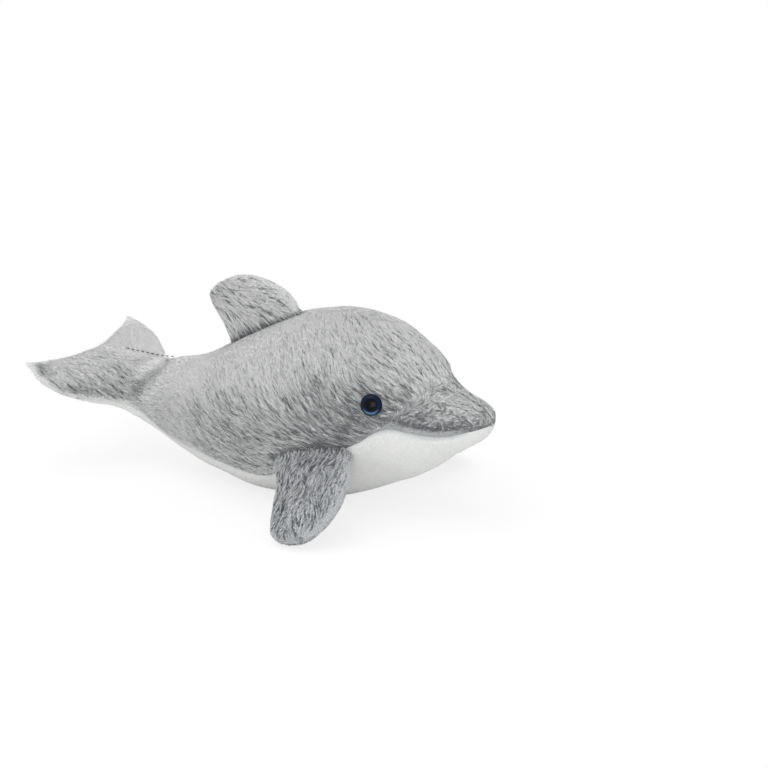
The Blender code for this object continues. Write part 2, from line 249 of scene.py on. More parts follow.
class PlushColours(bpy.types.PropertyGroup):
    """Colours of the cloth, the pile and the small parts."""

    grey_tip: FloatVectorProperty(
        name="Grey tips", description="Colour at the tips of the grey locks", subtype="COLOR",
        default=(0.74, 0.745, 0.74),
    )
    # Painted shade: this dark colour stands in for the shade down among the grey locks
    grey_root_shade: FloatVectorProperty(
        name="Grey roots", description="Colour down among the grey locks", subtype="COLOR",
        default=(0.130, 0.138, 0.148),
    )
    flipper_tip: FloatVectorProperty(
        name="Flipper tips", description="Colour at the tips of the flippers' darker locks",
        subtype="COLOR",
        default=(0.62, 0.635, 0.65),
    )
    # Painted shade: this dark colour stands in for the shade down among the flippers' locks
    flipper_root: FloatVectorProperty(
        name="Flipper roots", description="Colour down among the flippers' locks", subtype="COLOR",
        default=(0.085, 0.092, 0.102),
    )
    white_tip: FloatVectorProperty(
        name="White tips", description="Colour at the tips of the white locks", subtype="COLOR",
        default=(0.75, 0.75, 0.73),
    )
    # Painted shade: this blue-grey stands in for the shade down among the white locks and under the lip
    white_root_shade: FloatVectorProperty(
        name="White roots", description="Colour down among the white locks", subtype="COLOR",
        default=(0.38, 0.42, 0.44),
    )
    thread: FloatVectorProperty(
        name="Thread", description="Colour of the sewing thread", subtype="COLOR",
        default=(0.10, 0.11, 0.12),
    )
    fibre: FloatVectorProperty(
        name="Fibre", description="Colour of the filling",
        subtype="COLOR", default=(0.85, 0.85, 0.84),
    )
    washer: FloatVectorProperty(
        name="Washer", description="Colour of the eyes' locking washers", subtype="COLOR",
        default=(0.75, 0.75, 0.73),
    )
    iris: FloatVectorProperty(
        name="Iris", description="Colour of the eyes' ring",
        subtype="COLOR", default=(0.004, 0.011, 0.028),
    )
    # Painted light gathered low in the eye's ring
    iris_light: FloatVectorProperty(
        name="Iris crescent", description="Colour where light gathers low in the ring",
        subtype="COLOR",
        default=(0.100, 0.240, 0.450),
    )
    pupil: FloatVectorProperty(
        name="Pupil", description="Colour of the middle of the eyes", subtype="COLOR",
        default=(0.004, 0.003, 0.0035),
    )
    rim: FloatVectorProperty(
        name="Eye rim", description="Colour of the eyes' edge", subtype="COLOR",
        default=(0.004, 0.008, 0.022),
    )


class PlushStage(bpy.types.PropertyGroup):
    """Floor, lamps and camera."""

    floor: FloatVectorProperty(
        name="Floor", description="Colour of the floor",
        subtype="COLOR", default=(0.92, 0.92, 0.92),
    )
    glow: FloatProperty(
        name="Floor glow",
        description="Share of plain white in the floor that the camera sees near the toy",
        default=0.78, min=0.0, max=1.0,
    )
    sky: FloatProperty(
        name="Sky", description="Strength of the light from all round", default=0.84, min=0.0,
    )
    key: FloatProperty(
        name="Key light", description="Power of the large lamp overhead",
        default=9.0, min=0.0, unit="POWER",
    )
    fill: FloatProperty(
        name="Fill light", description="Power of the low lamp in front",
        default=11.0, min=0.0, unit="POWER",
    )
    turn: FloatProperty(
        name="Turn", description="How far the camera stands round towards the beak",
        default=math.radians(33), subtype="ANGLE",
    )
    rise: FloatProperty(
        name="Rise", description="How far the camera looks down",
        default=math.radians(20), subtype="ANGLE",
    )
    distance: FloatProperty(
        name="Distance", description="How far the camera stands from the middle of the toy",
        default=2.0, min=0.1, unit="LENGTH",
    )
    lens: FloatProperty(
        name="Lens", description="The camera's focal length in millimetres",
        default=188.4, min=10.0,
    )
    aim_right: FloatProperty(
        name="Aim right", description="How far to the right of the middle the camera aims",
        default=0.0526, unit="LENGTH",
    )
    aim_up: FloatProperty(
        name="Aim up", description="How far above the middle the camera aims",
        default=0.0478, unit="LENGTH",
    )


class Value:
    """A number in a material's nodes, on which arithmetic adds Math nodes."""

    def __init__(self, finish, socket):
        self.finish = finish
        self.socket = socket

    def math(self, operation, *others):
        """One Math node on this number and others."""
        inputs = {index: other for index, other in enumerate((self, *others))}
        return self.finish.number("ShaderNodeMath", {"operation": operation}, inputs)

    def __add__(self, other):
        return self.math("ADD", other)

    def __radd__(self, other):
        return self.math("ADD", other)

    def __sub__(self, other):
        return self.math("SUBTRACT", other)

    def __rsub__(self, other):
        return (self * -1.0) + other

    def __mul__(self, other):
        return self.math("MULTIPLY", other)

    def __rmul__(self, other):
        return self.math("MULTIPLY", other)

    def limit(self, low, high):
        """The number held between two others."""
        return self.math("MAXIMUM", low).math("MINIMUM", high)

    def step(self, low, high):
        """Rises smoothly from 0 to 1 as the number passes from low to high."""
        settings = {"interpolation_type": "SMOOTHSTEP"}
        return self.finish.number(
            "ShaderNodeMapRange", settings, {"Value": self, "From Min": low, "From Max": high}, "Result"
        )


class Finish:
    """A procedural material and the nodes that feed its Principled shader."""

    def __init__(self, name, **sockets):
        self.material = bpy.data.materials.new(name)
        self.material.use_nodes = True
        self.tree = self.material.node_tree
        self.shader = self.tree.nodes["Principled BSDF"]
        for socket, value in sockets.items():
            self.feed(self.shader.inputs[socket.replace("_", " ")], value)

    def feed(self, socket, value):
        """Sets a socket to a constant, or links it to a Value or to another socket."""
        if isinstance(value, Value):
            value = value.socket
        if isinstance(value, bpy.types.NodeSocket):
            self.tree.links.new(value, socket)
        elif socket.type == "RGBA" and len(value) == 3:
            socket.default_value = (*value, 1.0)
        else:
            socket.default_value = value

    def node(self, kind, settings=None, inputs=None):
        """Adds a node, with its settings first and then the values or links of its sockets."""
        made = self.tree.nodes.new(kind)
        for setting, value in (settings or {}).items():
            setattr(made, setting, value)
        for socket, value in (inputs or {}).items():
            self.feed(made.inputs[socket], value)
        return made

    def number(self, kind, settings=None, inputs=None, output=0):
        """A node's output as a number that arithmetic works on."""
        return Value(self, self.node(kind, settings, inputs).outputs[output])

    def place(self):
        """The place on the object, as a link for other nodes."""
        return self.node("ShaderNodeTexCoord").outputs["Object"]

    def noise(self, size, detail=2.0, place=None):
        """Smooth noise from 0 to 1 with features of one size."""
        inputs = {"Vector": place or self.place(), "Scale": 1.0 / size, "Detail": detail}
        return self.number("ShaderNodeTexNoise", None, inputs, "Fac")

    def attribute(self, name):
        """A number that the piece's mesh carries."""
        return self.number("ShaderNodeAttribute", {"attribute_name": name}, None, "Fac")

    def mix(self, share, first, second):
        """A colour between two others. A Mix node keeps its colours in inputs 6 and 7 and output 2."""
        inputs = {0: share, 6: first, 7: second}
        return self.node("ShaderNodeMix", {"data_type": "RGBA"}, inputs).outputs[2]

    def paint(self, colour):
        """Links a colour to the shader."""
        self.feed(self.shader.inputs["Base Color"], colour)

    def rough(self, amount):
        """Links a roughness to the shader."""
        self.feed(self.shader.inputs["Roughness"], amount)

    def bump(self, height, distance, strength=1.0):
        """Gives the surface a relief from a height between 0 and 1."""
        inputs = {"Height": height, "Distance": distance, "Strength": strength}
        made = self.node("ShaderNodeBump", None, inputs)
        self.feed(self.shader.inputs["Normal"], made.outputs["Normal"])


def smooth_step(low, high, values):
    """Rises smoothly from 0 to 1 as the values pass from low to high."""
    share = np.clip((values - low) / (high - low), 0.0, 1.0)
    return share * share * (3.0 - 2.0 * share)


def blend(first, second, share):
    """Numbers that pass from one to another by a share."""
    return first * (1.0 - share) + second * share


def between(first, second, share):
    """Directions between two others, row by row."""
    return first + (second - first) * share[:, None]


def nap_rows(x, y, z):
    """Directions as rows, from parts along X, Y and Z that are numbers or columns."""
    return np.stack(np.broadcast_arrays(x, y, z), axis=1)


def unit(vectors):
    """Vectors brought to a length of one."""
    return vectors / np.maximum(np.linalg.norm(vectors, axis=1, keepdims=True), 1e-9)


def wander(points, size, offset):
    """Smooth noise from about -1 to 1 at each point, with features of one size.

    Each offset picks another pattern.
    """
    away = Vector((offset, -offset, offset))
    return np.array([noise.noise(Vector(point) / size + away) for point in points])


# The patterns that are read: for strands, slow waves, clumps, tufts in them, twists and wide patches
STRANDS, WAVES, CLUMPS, TUFTS, TWISTS, PATCHES = 3.0, 5.0, 11.0, 23.0, 31.0, 53.0


def mesh_points(mesh):
    """A mesh's corners as rows."""
    rows = np.empty(len(mesh.vertices) * 3)
    mesh.vertices.foreach_get("co", rows)
    return rows.reshape(-1, 3)


def mesh_normals(mesh):
    """A mesh's smooth normals as rows, one for each corner."""
    rows = np.empty(len(mesh.vertices) * 3)
    mesh.vertex_normals.foreach_get("vector", rows)
    return rows.reshape(-1, 3)


def node_shape(*names):
    """One closed shape of some CAD nodes, with their corners merged."""
    bm = bmesh.new()
    for name in names:
        bm.from_mesh(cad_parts[name].data)
    bmesh.ops.remove_doubles(bm, verts=bm.verts, dist=0.00001)
    return bm


def search_tree(*names):
    """A tree that finds the nearest place on some CAD nodes."""
    bm = node_shape(*names)
    tree = BVHTree.FromBMesh(bm)
    bm.free()
    return tree


def distances(points, tree, furthest=0.03):
    """How far each point is from a tree's surface, up to a limit."""
    found = (tree.find_nearest(Vector(point), furthest)[3] for point in points)
    return np.array([furthest if distance is None else distance for distance in found])


def nearest_places(points, tree):
    """The places on a tree's surface nearest to each point, with the surface's normals there."""
    found = [tree.find_nearest(Vector(point)) for point in points]
    return np.array([hit[0][:] for hit in found]), np.array([hit[1][:] for hit in found])


# How far under a skin a ray starts, past the inner side of the panel's own cloth
OWN_CLOTH = 0.0024


def thickness(points, normals, tree):
    """How thick a shell is under each point of its skin, to the inner face of the cloth across."""
    found = []
    for point, normal in zip(points, normals):
        inward = -Vector(normal)
        reach = tree.ray_cast(Vector(point) + inward * OWN_CLOTH, inward)[3]
        found.append(OWN_CLOTH + (0.0 if reach is None else reach))
    return np.array(found)


def track_distance(points, track):
    """How far each point is from a line of straight pieces."""
    nearest = np.full(len(points), np.inf)
    for start, end in zip(track, track[1:]):
        start, end = np.array(start), np.array(end)
        run = end - start
        share = np.clip((points - start) @ run / (run @ run), 0.0, 1.0)
        nearest = np.minimum(nearest, np.linalg.norm(points - start - share[:, None] * run, axis=1))
    return nearest


# A panel's outer side is told from its inner one by rays that leave each face all round and lean far
# and near from its normal by turns, and then by votes of the faces that run on smoothly from it
RAYS = 12
RAY_LEANS = (1.2, 0.5)
RAY_START = 0.0006
FEWEST_FREE_RAYS = 3
VOTING_ROUNDS = 3
SMOOTH_TURN = 0.75


def looks_inwards(face, tree):
    """Whether a face looks into a shell, so that most rays that leave it meet the shell again."""
    start = face.calc_center_median() + face.normal * RAY_START
    side = face.normal.orthogonal().normalized()
    other = face.normal.cross(side)
    free = 0
    for step in range(RAYS):
        turn = step * 2.0 * math.pi / RAYS
        ray = face.normal + (side * math.cos(turn) + other * math.sin(turn)) * RAY_LEANS[step % 2]
        free += tree.ray_cast(start, ray.normalized())[0] is None
    return free < FEWEST_FREE_RAYS


def outvoted(face, hidden):
    """Whether most of the faces that run on smoothly from a face lie on its panel's other side."""
    around = [other for edge in face.edges for other in edge.link_faces if other is not face]
    voters = [other for other in around if other.normal.dot(face.normal) > SMOOTH_TURN]
    against = sum((other in hidden) != (face in hidden) for other in voters)
    return len(voters) > 1 and 2 * against > len(voters)


def outer_sheet(name, shell):
    """The outer sheet of a panel: its faces that don't look into the shell that it belongs to."""
    bm = node_shape(name)
    tree = search_tree(*shell)
    bm.normal_update()
    hidden = {face for face in bm.faces if looks_inwards(face, tree)}
    for _ in range(VOTING_ROUNDS):
        hidden ^= {face for face in bm.faces if outvoted(face, hidden)}
    bmesh.ops.delete(bm, geom=list(hidden), context="FACES")
    lone = [face for face in bm.faces if all(edge.is_boundary for edge in face.edges)]
    bmesh.ops.delete(bm, geom=lone, context="FACES")
    bmesh.ops.join_triangles(
        bm, faces=bm.faces, angle_face_threshold=math.radians(40),
        angle_shape_threshold=math.radians(60),
    )
    return bm


def evaluated_mesh(draft, name):
    """A new mesh of an object with its modifiers applied."""
    graph = bpy.context.evaluated_depsgraph_get()
    graph.update()
    mesh = bpy.data.meshes.new_from_object(draft.evaluated_get(graph))
    mesh.name = name
    return mesh


def smoothed_mesh(bm, name, levels):
    """The bmesh as a mesh with rounded facets, drawn out to pass close by the bmesh's corners."""
    mesh = bpy.data.meshes.new(name + "_draft")
    bm.to_mesh(mesh)
    bm.free()
    draft = bpy.data.objects.new(name + "_draft", mesh)
    bpy.context.scene.collection.objects.link(draft)
    rounding = draft.modifiers.new("Rounding", "SUBSURF")
    rounding.levels = levels
    rounding.render_levels = levels
    corners = mesh_points(mesh)
    first = evaluated_mesh(draft, name + "_first")
    shrunk = mesh_points(first)[:len(corners)]
    mesh.vertices.foreach_set("co", (2.0 * corners - shrunk).ravel())
    mesh.update()
    smooth = evaluated_mesh(draft, name)
    bpy.data.objects.remove(draft)
    bpy.data.meshes.remove(mesh)
    bpy.data.meshes.remove(first)
    return smooth


def show(name, mesh, finish):
    """Puts a finished mesh in the scene as a piece of the toy."""
    mesh.shade_smooth()
    mesh.materials.clear()
    mesh.materials.append(finish.material)
    piece = bpy.data.objects.new(name, mesh)
    bpy.context.scene.collection.objects.link(piece)
    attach(piece, "root")
    return piece


def merged_points(name):
    """A CAD node's corners, each one once."""
    bm = node_shape(name)
    points = np.array([vertex.co[:] for vertex in bm.verts])
    bm.free()
    return points


def eye_axis(side):
    """An eye's seat on the skin, the way it faces, and its dome's radius and height, from the CAD."""
    eye = merged_points(f"eye_{side}")
    heart = merged_points(f"eye_washer_{side}").mean(axis=0)
    outward = unit((eye.mean(axis=0) - heart)[None, :])[0]
    height = (eye - heart) @ outward
    spread = np.linalg.norm(eye - heart - height[:, None] * outward, axis=1)
    radius = spread.max()
    seat = height[spread > radius * 0.9].min()
    return heart + outward * seat, outward, radius, height.max() - seat


def eye_shank(side):
    """How far an eye's shank reaches in from its seat on the skin, and the shank's radius."""
    seat, outward, _, _ = eye_axis(side)
    eye = merged_points(f"eye_{side}") - seat
    height = eye @ outward
    spread = np.linalg.norm(eye - height[:, None] * outward, axis=1)
    deep = height < height.min() * 0.5
    return -height.min(), spread[deep].max()


# Creases on the animal's right, from its middle outwards, and the folds of its right fluke and flipper
FLUKE_CREASE = (
    (-0.0654, -0.0025, 0.0539),
    (-0.0654, -0.0078, 0.0522),
    (-0.0689, -0.0151, 0.0457),
    (-0.0722, -0.0200, 0.0404),
)
BEAK_CREASE = (
    (0.0941, -0.0109, 0.0687),
    (0.0918, -0.0172, 0.0656),
    (0.0861, -0.0250, 0.0587),
    (0.0792, -0.0292, 0.0525),
)
TIP_FOLD = ((-0.1101, -0.0481, 0.0557), (-0.1059, -0.0522, 0.0538))
FLIPPER_FOLD = ((0.0560, -0.0470, 0.0390), (0.0545, -0.0560, 0.0330))

# How far from the middle the crease behind the beak starts and is whole, and how far forward its plane
# leans for each unit of height
BEAK_CREASE_FADE = (0.010, 0.024)
BEAK_CREASE_LEAN = 0.961


def mirrored(track):
    """A line of points on the animal's other side."""
    return tuple((x, -y, z) for x, y, z in track)


def crease_share(points, reach):
    """How far each point has sunk in a crease, from 0 to 1.

    Behind the beak the crease fades out over the middle.
    """
    share = np.zeros(len(points))
    for track in (FLUKE_CREASE, mirrored(FLUKE_CREASE), TIP_FOLD, FLIPPER_FOLD):
        share = np.maximum(share, np.exp(-(track_distance(points, track) / reach) ** 2))
    fade = smooth_step(*BEAK_CREASE_FADE, np.abs(points[:, 1]))
    for track in (BEAK_CREASE, mirrored(BEAK_CREASE)):
        share = np.maximum(share, fade * np.exp(-(track_distance(points, track) / reach) ** 2))
    return share


def beyond_crease(places):
    """How far each place lies in front of the crease behind the beak."""
    crease_x, _, crease_z = BEAK_CREASE[-1]
    return places[:, 0] - (crease_x + BEAK_CREASE_LEAN * (places[:, 2] - crease_z))


def rim_corners(mesh):
    """Which of a mesh's corners lie on its open rim."""
    edges = np.empty(len(mesh.loops), dtype=np.int32)
    mesh.loops.foreach_get("edge_index", edges)
    ends = np.empty(len(mesh.edges) * 2, dtype=np.int32)
    mesh.edges.foreach_get("vertices", ends)
    open_edges = np.bincount(edges, minlength=len(mesh.edges)) == 1
    rim = np.zeros(len(mesh.vertices), dtype=bool)
    rim[ends.reshape(-1, 2)[open_edges].ravel()] = True
    return rim


class Panel(NamedTuple):
    """One sewn panel and what lies round it, by the names of their CAD nodes.

    The shell is the panels round the same filling, and the carrier is what the foot of the fin or a
    flipper is sewn on. The pile is short at the seams with pile_seams or, if there are none, with
    sewn_to.
    """

    node: str
    shell: tuple
    sewn_to: tuple
    filling: str
    pile_seams: tuple = ()
    carrier: str = ""


class Coat(NamedTuple):
    """How panels of one kind are covered.

    The depths are how far the cloth sinks under its pile and at a seam, and coarse is the size of the
    pile's strands against the grey plush.
    """

    backing: Finish
    pile: Finish
    slot: str
    fill: float
    depths: tuple
    # Gives the pile's level, painted light and shade included, and its contrast
    tone: Callable
    nap: Callable
    short: bool = False
    coarse: float = 1.0


# Where the cloth starts to sink at a seam and to turn to the filling, as shares of the seam's reach,
# and where it starts to close, as a share of the seam's gap
SINK_START = 1.8
TURN_START = 1.6
CLOSE_START = 3.0

# How far each of two panels comes to the other where they are sewn, near the seam and on its rim
CLOSE_SHARE = 0.45
RIM_SHARE = 0.5

# Where the beak starts along X, how wide its ridge is, and how little of a seam's pull is left on it
BEAK_START = (0.060, 0.080)
BEAK_RIDGE = (0.010, 0.004)
BEAK_PULL = 0.2

# An eye's socket against the eye's radius, and the rounds of smoothing that a panel's facets get
SOCKET_SIZE = 1.3
SMOOTHING = 2


def shape_cloth(mesh, panel, depths, cloth, seed):
    """Moves a skin in under its pile, with its seams pulled in, its creases, eye sockets and lumps.

    Nothing reaches the filling or the far side of a thin place, and the foot of the fin or a flipper
    sinks in its carrier.
    """
    points = mesh_points(mesh)
    normals = mesh_normals(mesh)
    nap_depth, seam_depth = depths
    beside = search_tree(*panel.sewn_to)
    seam = distances(points, beside)
    cores, _ = nearest_places(points, search_tree(panel.filling))
    room = np.linalg.norm(points - cores, axis=1)

    inward = nap_depth + cloth.crease_depth * crease_share(points, cloth.crease_reach)
    for side, _ in SIDES:
        seat, _, radius, _ = eye_axis(side)
        away = np.linalg.norm(points - seat, axis=1)
        inward += cloth.socket_depth * np.exp(-(away / (radius * SOCKET_SIZE)) ** 4)
    inward -= cloth.lump_height * wander(points, cloth.lump_size, seed)
    across = thickness(points, normals, search_tree(*panel.shell))
    inward = np.minimum(inward, cloth.thickness_share * across)
    beak = smooth_step(*BEAK_START, points[:, 0]) * smooth_step(*BEAK_RIDGE, np.abs(points[:, 1]))
    sewn = smooth_step(SINK_START * cloth.seam_reach, cloth.seam_gap, seam)
    pulled = cloth.short_nap_depth + seam_depth * blend(1.0, BEAK_PULL, beak)
    inward += (pulled - inward) * sewn
    inward = np.minimum(inward, room - cloth.filling_gap)

    turning = smooth_step(TURN_START * cloth.seam_reach, cloth.seam_gap, seam)
    towards = unit(between(normals, unit(points - cores), turning))
    closing = CLOSE_SHARE * smooth_step(CLOSE_START * cloth.seam_gap, cloth.seam_gap, seam)
    closing[rim_corners(mesh) & (seam < cloth.widest_gap)] = RIM_SHARE
    joined, _ = nearest_places(points, beside)
    points += (joined - points) * closing[:, None] - towards * inward[:, None]
    if panel.carrier:
        places, outward = nearest_places(points, search_tree(panel.carrier))
        away = np.linalg.norm(points - places, axis=1)
        near = 1.0 - smooth_step(0.0, cloth.root_reach, away)
        points += (places - outward * cloth.root_sink - points) * near[:, None]
    points[:, 2] = np.maximum(points[:, 2], 0.0)
    mesh.vertices.foreach_set("co", points.ravel())
    mesh.update()


def skin(name, panel, coat, context):
    """A panel's skin in place of its CAD node: a sheet under the pile with the cloth's thickness."""
    cloth = context.scene.plush_cloth
    around = (*panel.shell, panel.carrier) if panel.carrier else panel.shell
    mesh = smoothed_mesh(outer_sheet(panel.node, around), name, SMOOTHING)
    points = mesh_points(mesh)
    seams = distances(points, search_tree(*panel.sewn_to))
    # The skin carries the pile's level, painted light and shade included, for its backing's colour
    level, _ = coat.tone(points, mesh_normals(mesh), seams)
    mesh.attributes.new("tone", "FLOAT", "POINT").data.foreach_set("value", level.astype(np.float32))
    shape_cloth(mesh, panel, coat.depths, cloth, context.scene.plush_pile.seed)
    piece = show(name, mesh, coat.backing)
    wall = piece.modifiers.new("Thickness", "SOLIDIFY")
    wall.thickness = cloth.thickness
    wall.offset = -1.0
    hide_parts(panel.node)
    return piece


# Where a lock is fullest, as a share of its length, and how full it is there against its foot
LOCK_WAIST = 0.45
LOCK_FULLNESS = 1.7

# A lock's place in its square of the UV map: each side has a third of the width, less a margin, above
# the strip of the foot
LOCK_SIDES = 3
SIDE_WIDTH = 0.9
FOOT_STRIP = 0.1
FOOT_PLACES = ((0.1, 0.0), (0.9, 0.0), (0.5, 0.08))


def lock_shape():
    """One lock of pile: a closed three-sided spike along Z from 0 to 1, fullest low down.

    Returns its corners, its triangles and a UV for each corner of each triangle.
    """
    bm = bmesh.new()
    bmesh.ops.create_cone(bm, cap_ends=True, segments=LOCK_SIDES, radius1=0.5, radius2=0.0, depth=1.0)
    bmesh.ops.translate(bm, verts=bm.verts, vec=(0.0, 0.0, 0.5))
    bmesh.ops.bisect_plane(
        bm, geom=bm.verts[:] + bm.edges[:] + bm.faces[:], plane_co=(0.0, 0.0, LOCK_WAIST),
        plane_no=(0.0, 0.0, 1.0),
    )
    waist = [vertex for vertex in bm.verts if 0.1 < vertex.co.z < 0.9]
    bmesh.ops.scale(bm, verts=waist, vec=(LOCK_FULLNESS, LOCK_FULLNESS, 1.0))
    bmesh.ops.remove_doubles(bm, verts=bm.verts, dist=0.001)
    bmesh.ops.triangulate(bm, faces=bm.faces)
    bmesh.ops.recalc_face_normals(bm, faces=bm.faces)
    bm.verts.index_update()
    corners = np.array([vertex.co[:] for vertex in bm.verts])
    triangles, places = [], []
    for face in bm.faces:
        triangles.append([vertex.index for vertex in face.verts])
        if max(vertex.co.z for vertex in face.verts) < 0.01:
            places.append(FOOT_PLACES)
            continue
        middle = face.calc_center_median()
        facing = math.atan2(middle.y, middle.x)
        third = round((facing + math.pi) / (2 * math.pi) * LOCK_SIDES - 0.5) % LOCK_SIDES
        row = []
        for vertex in face.verts:
            lean = 0.0
            if math.hypot(vertex.co.x, vertex.co.y) > 0.01:
                lean = math.atan2(vertex.co.y, vertex.co.x) - facing
                lean = math.atan2(math.sin(lean), math.cos(lean)) / (2 * math.pi / LOCK_SIDES)
            across = (third + 0.5 + SIDE_WIDTH * lean) / LOCK_SIDES
            row.append((across, FOOT_STRIP + (1.0 - FOOT_STRIP) * vertex.co.z))
        places.append(row)
    bm.free()
    return corners, np.array(triangles), np.array(places)


# The UV map has this many shades along each side, in squares that the locks keep off by a margin
SHADES = 16
SHADE_MARGIN = 0.06

# How thick a lock is against its width, and how far it stays above the floor
LOCK_FLATNESS = 0.6
FLOOR_GAP = 0.0002


def locks_mesh(name, places, normals, naps, lengths, widths, tints, pile):
    """A mesh of one lock at each place, which leans along its nap and carries its shade.

    All locks of one shade share one square of the UV map. Tints are from 0, dark, to 1, pale.
    """
    corners, triangles, uv = lock_shape()
    count, size = len(places), len(corners)
    sides = unit(np.cross(normals, naps))
    along = corners[:, 2]
    lift, run = lock_lift(pile, along)
    spots = np.repeat(places[:, None, :], size, axis=1)
    spots = spots + naps[:, None, :] * (run[None, :] * lengths[:, None])[:, :, None]
    spots = spots + normals[:, None, :] * (lift[None, :] * lengths[:, None])[:, :, None]
    spots = spots + sides[:, None, :] * (corners[None, :, 0] * widths[:, None])[:, :, None]
    thicknesses = widths * LOCK_FLATNESS
    spots = spots + normals[:, None, :] * (corners[None, :, 1] * thicknesses[:, None])[:, :, None]
    spots = spots.reshape(-1, 3)
    spots[:, 2] = np.maximum(spots[:, 2], FLOOR_GAP)

    mesh = bpy.data.meshes.new(name)
    mesh.vertices.add(len(spots))
    mesh.vertices.foreach_set("co", spots.ravel())
    rows = (triangles[None, :, :] + (np.arange(count) * size)[:, None, None]).reshape(-1)
    mesh.loops.add(len(rows))
    mesh.loops.foreach_set("vertex_index", rows.astype(np.int32))
    mesh.polygons.add(len(rows) // 3)
    mesh.polygons.foreach_set("loop_start", np.arange(0, len(rows), 3, dtype=np.int32))
    mesh.update(calc_edges=True)
    shade = np.clip((tints * SHADES * SHADES).astype(int), 0, SHADES * SHADES - 1)
    cells = np.stack((shade % SHADES, shade // SHADES), axis=1) / SHADES
    inside = SHADE_MARGIN + (1.0 - 2.0 * SHADE_MARGIN) * uv
    flat = cells[:, None, None, :] + inside[None, :, :, :] / SHADES
    mesh.uv_layers.new(name="OFBake").data.foreach_set("uv", flat.reshape(-1))
    carried = {"along": np.tile(along, count), "shade": np.repeat(shade / SHADES ** 2, size)}
    for label, values in carried.items():
        mesh.attributes.new(label, "FLOAT", "POINT").data.foreach_set("value", values.astype(np.float32))
    return mesh


SQUARE_CENTIMETRE = 0.0001


def scatter(mesh, per_square_centimetre, rng):
    """Spreads points evenly over a mesh, and returns their places and smooth normals."""
    mesh.calc_loop_triangles()
    rows = np.empty(len(mesh.loop_triangles) * 3, dtype=np.int32)
    mesh.loop_triangles.foreach_get("vertices", rows)
    rows = rows.reshape(-1, 3)
    points, normals = mesh_points(mesh), mesh_normals(mesh)
    a, b, c = (points[rows[:, corner]] for corner in range(3))
    areas = np.linalg.norm(np.cross(b - a, c - a), axis=1) / 2
    reach = np.cumsum(areas)
    spacing = SQUARE_CENTIMETRE / per_square_centimetre
    count = int(reach[-1] / spacing)
    marks = (np.arange(count) + rng.random(count)) * spacing
    chosen = np.minimum(np.searchsorted(reach, marks), len(areas) - 1)
    first, second = rng.random((2, count))
    over = first + second > 1.0
    first[over], second[over] = 1.0 - first[over], 1.0 - second[over]
    shares = np.stack((1.0 - first - second, first, second), axis=1)
    rows = rows[chosen]
    places = sum(points[rows[:, corner]] * shares[:, corner, None] for corner in range(3))
    facing = sum(normals[rows[:, corner]] * shares[:, corner, None] for corner in range(3))
    return places, unit(facing)


def turned(directions, normals, angles):
    """Directions turned about their normals."""
    cos, sin = np.cos(angles)[:, None], np.sin(angles)[:, None]
    return directions * cos + np.cross(normals, directions) * sin


def lock_lift(pile, share):
    """How far a lock of length one rises from the cloth and runs along it by a share of its length."""
    low, high = pile.root_lean, pile.tip_lean
    lift = math.sin(low) * share - (math.sin(low) - math.sin(high)) * share ** 2 / 2
    run = math.cos(low) * share + (math.cos(high) - math.cos(low)) * share ** 2 / 2
    return lift, run


# The least share of its length that a lock keeps when it is trimmed
LEAST_LENGTH = 0.3


def trimmed(lengths, places, normals, naps, tree, pile):
    """Lock lengths cut down where a tip would stand out past the toy's shape by more than the fuzz."""
    lift, run = lock_lift(pile, 1.0)
    tips = places + (naps * run + normals * lift) * lengths[:, None]
    surface, outward = nearest_places(tips, tree)
    out = np.sum((tips - surface) * outward, axis=1)
    start = np.sum((places - surface) * outward, axis=1)
    share = (pile.fuzz - start) / np.maximum(out - start, 0.0001)
    return lengths * np.where(out > pile.fuzz, np.clip(share, LEAST_LENGTH, 1.0), 1.0)


# How many readings of the noise are drawn into one strand
STRAND_READINGS = 7


def strands(places, naps, pile, coarse):
    """Strands, which are high, and the partings between them, where painted shade is laid: noise drawn
    out along the nap.
    """
    steps = np.linspace(-0.5, 0.5, STRAND_READINGS) * pile.streak_length * coarse
    drawn = sum(wander(places + naps * step, pile.streak_width * coarse, STRANDS) for step in steps)
    return drawn / max(drawn.std(), 0.001)


# How far locks differ in length and width, how much of its length a lock has at a seam and on the beak,
# and how far from a seam or from the beak's crease the change takes
LOCK_LENGTHS = (0.75, 1.15)
LOCK_WIDTHS = (0.7, 1.2)
SEAM_LENGTH = 0.45
BEAK_LENGTH = 0.60
LENGTH_REACH = 0.006

# How far clumps turn for each degree of ruffle, and how deep a lock's root is set in the cloth
CLUMP_TURN = 1.6
ROOT_DEPTH = 0.0002

# Where along a lock its tone is read, and how much strands, partings, which are painted shade, wide
# patches and chance tint it
TONE_READING = 0.6
STRAND_TINT = 0.30
PARTING_SHADE = 0.55
PARTING = (-0.7, -1.6)
PATCH_TINT = 0.08
PATCH_SIZE = 0.03
CHANCE_TINT = 0.04


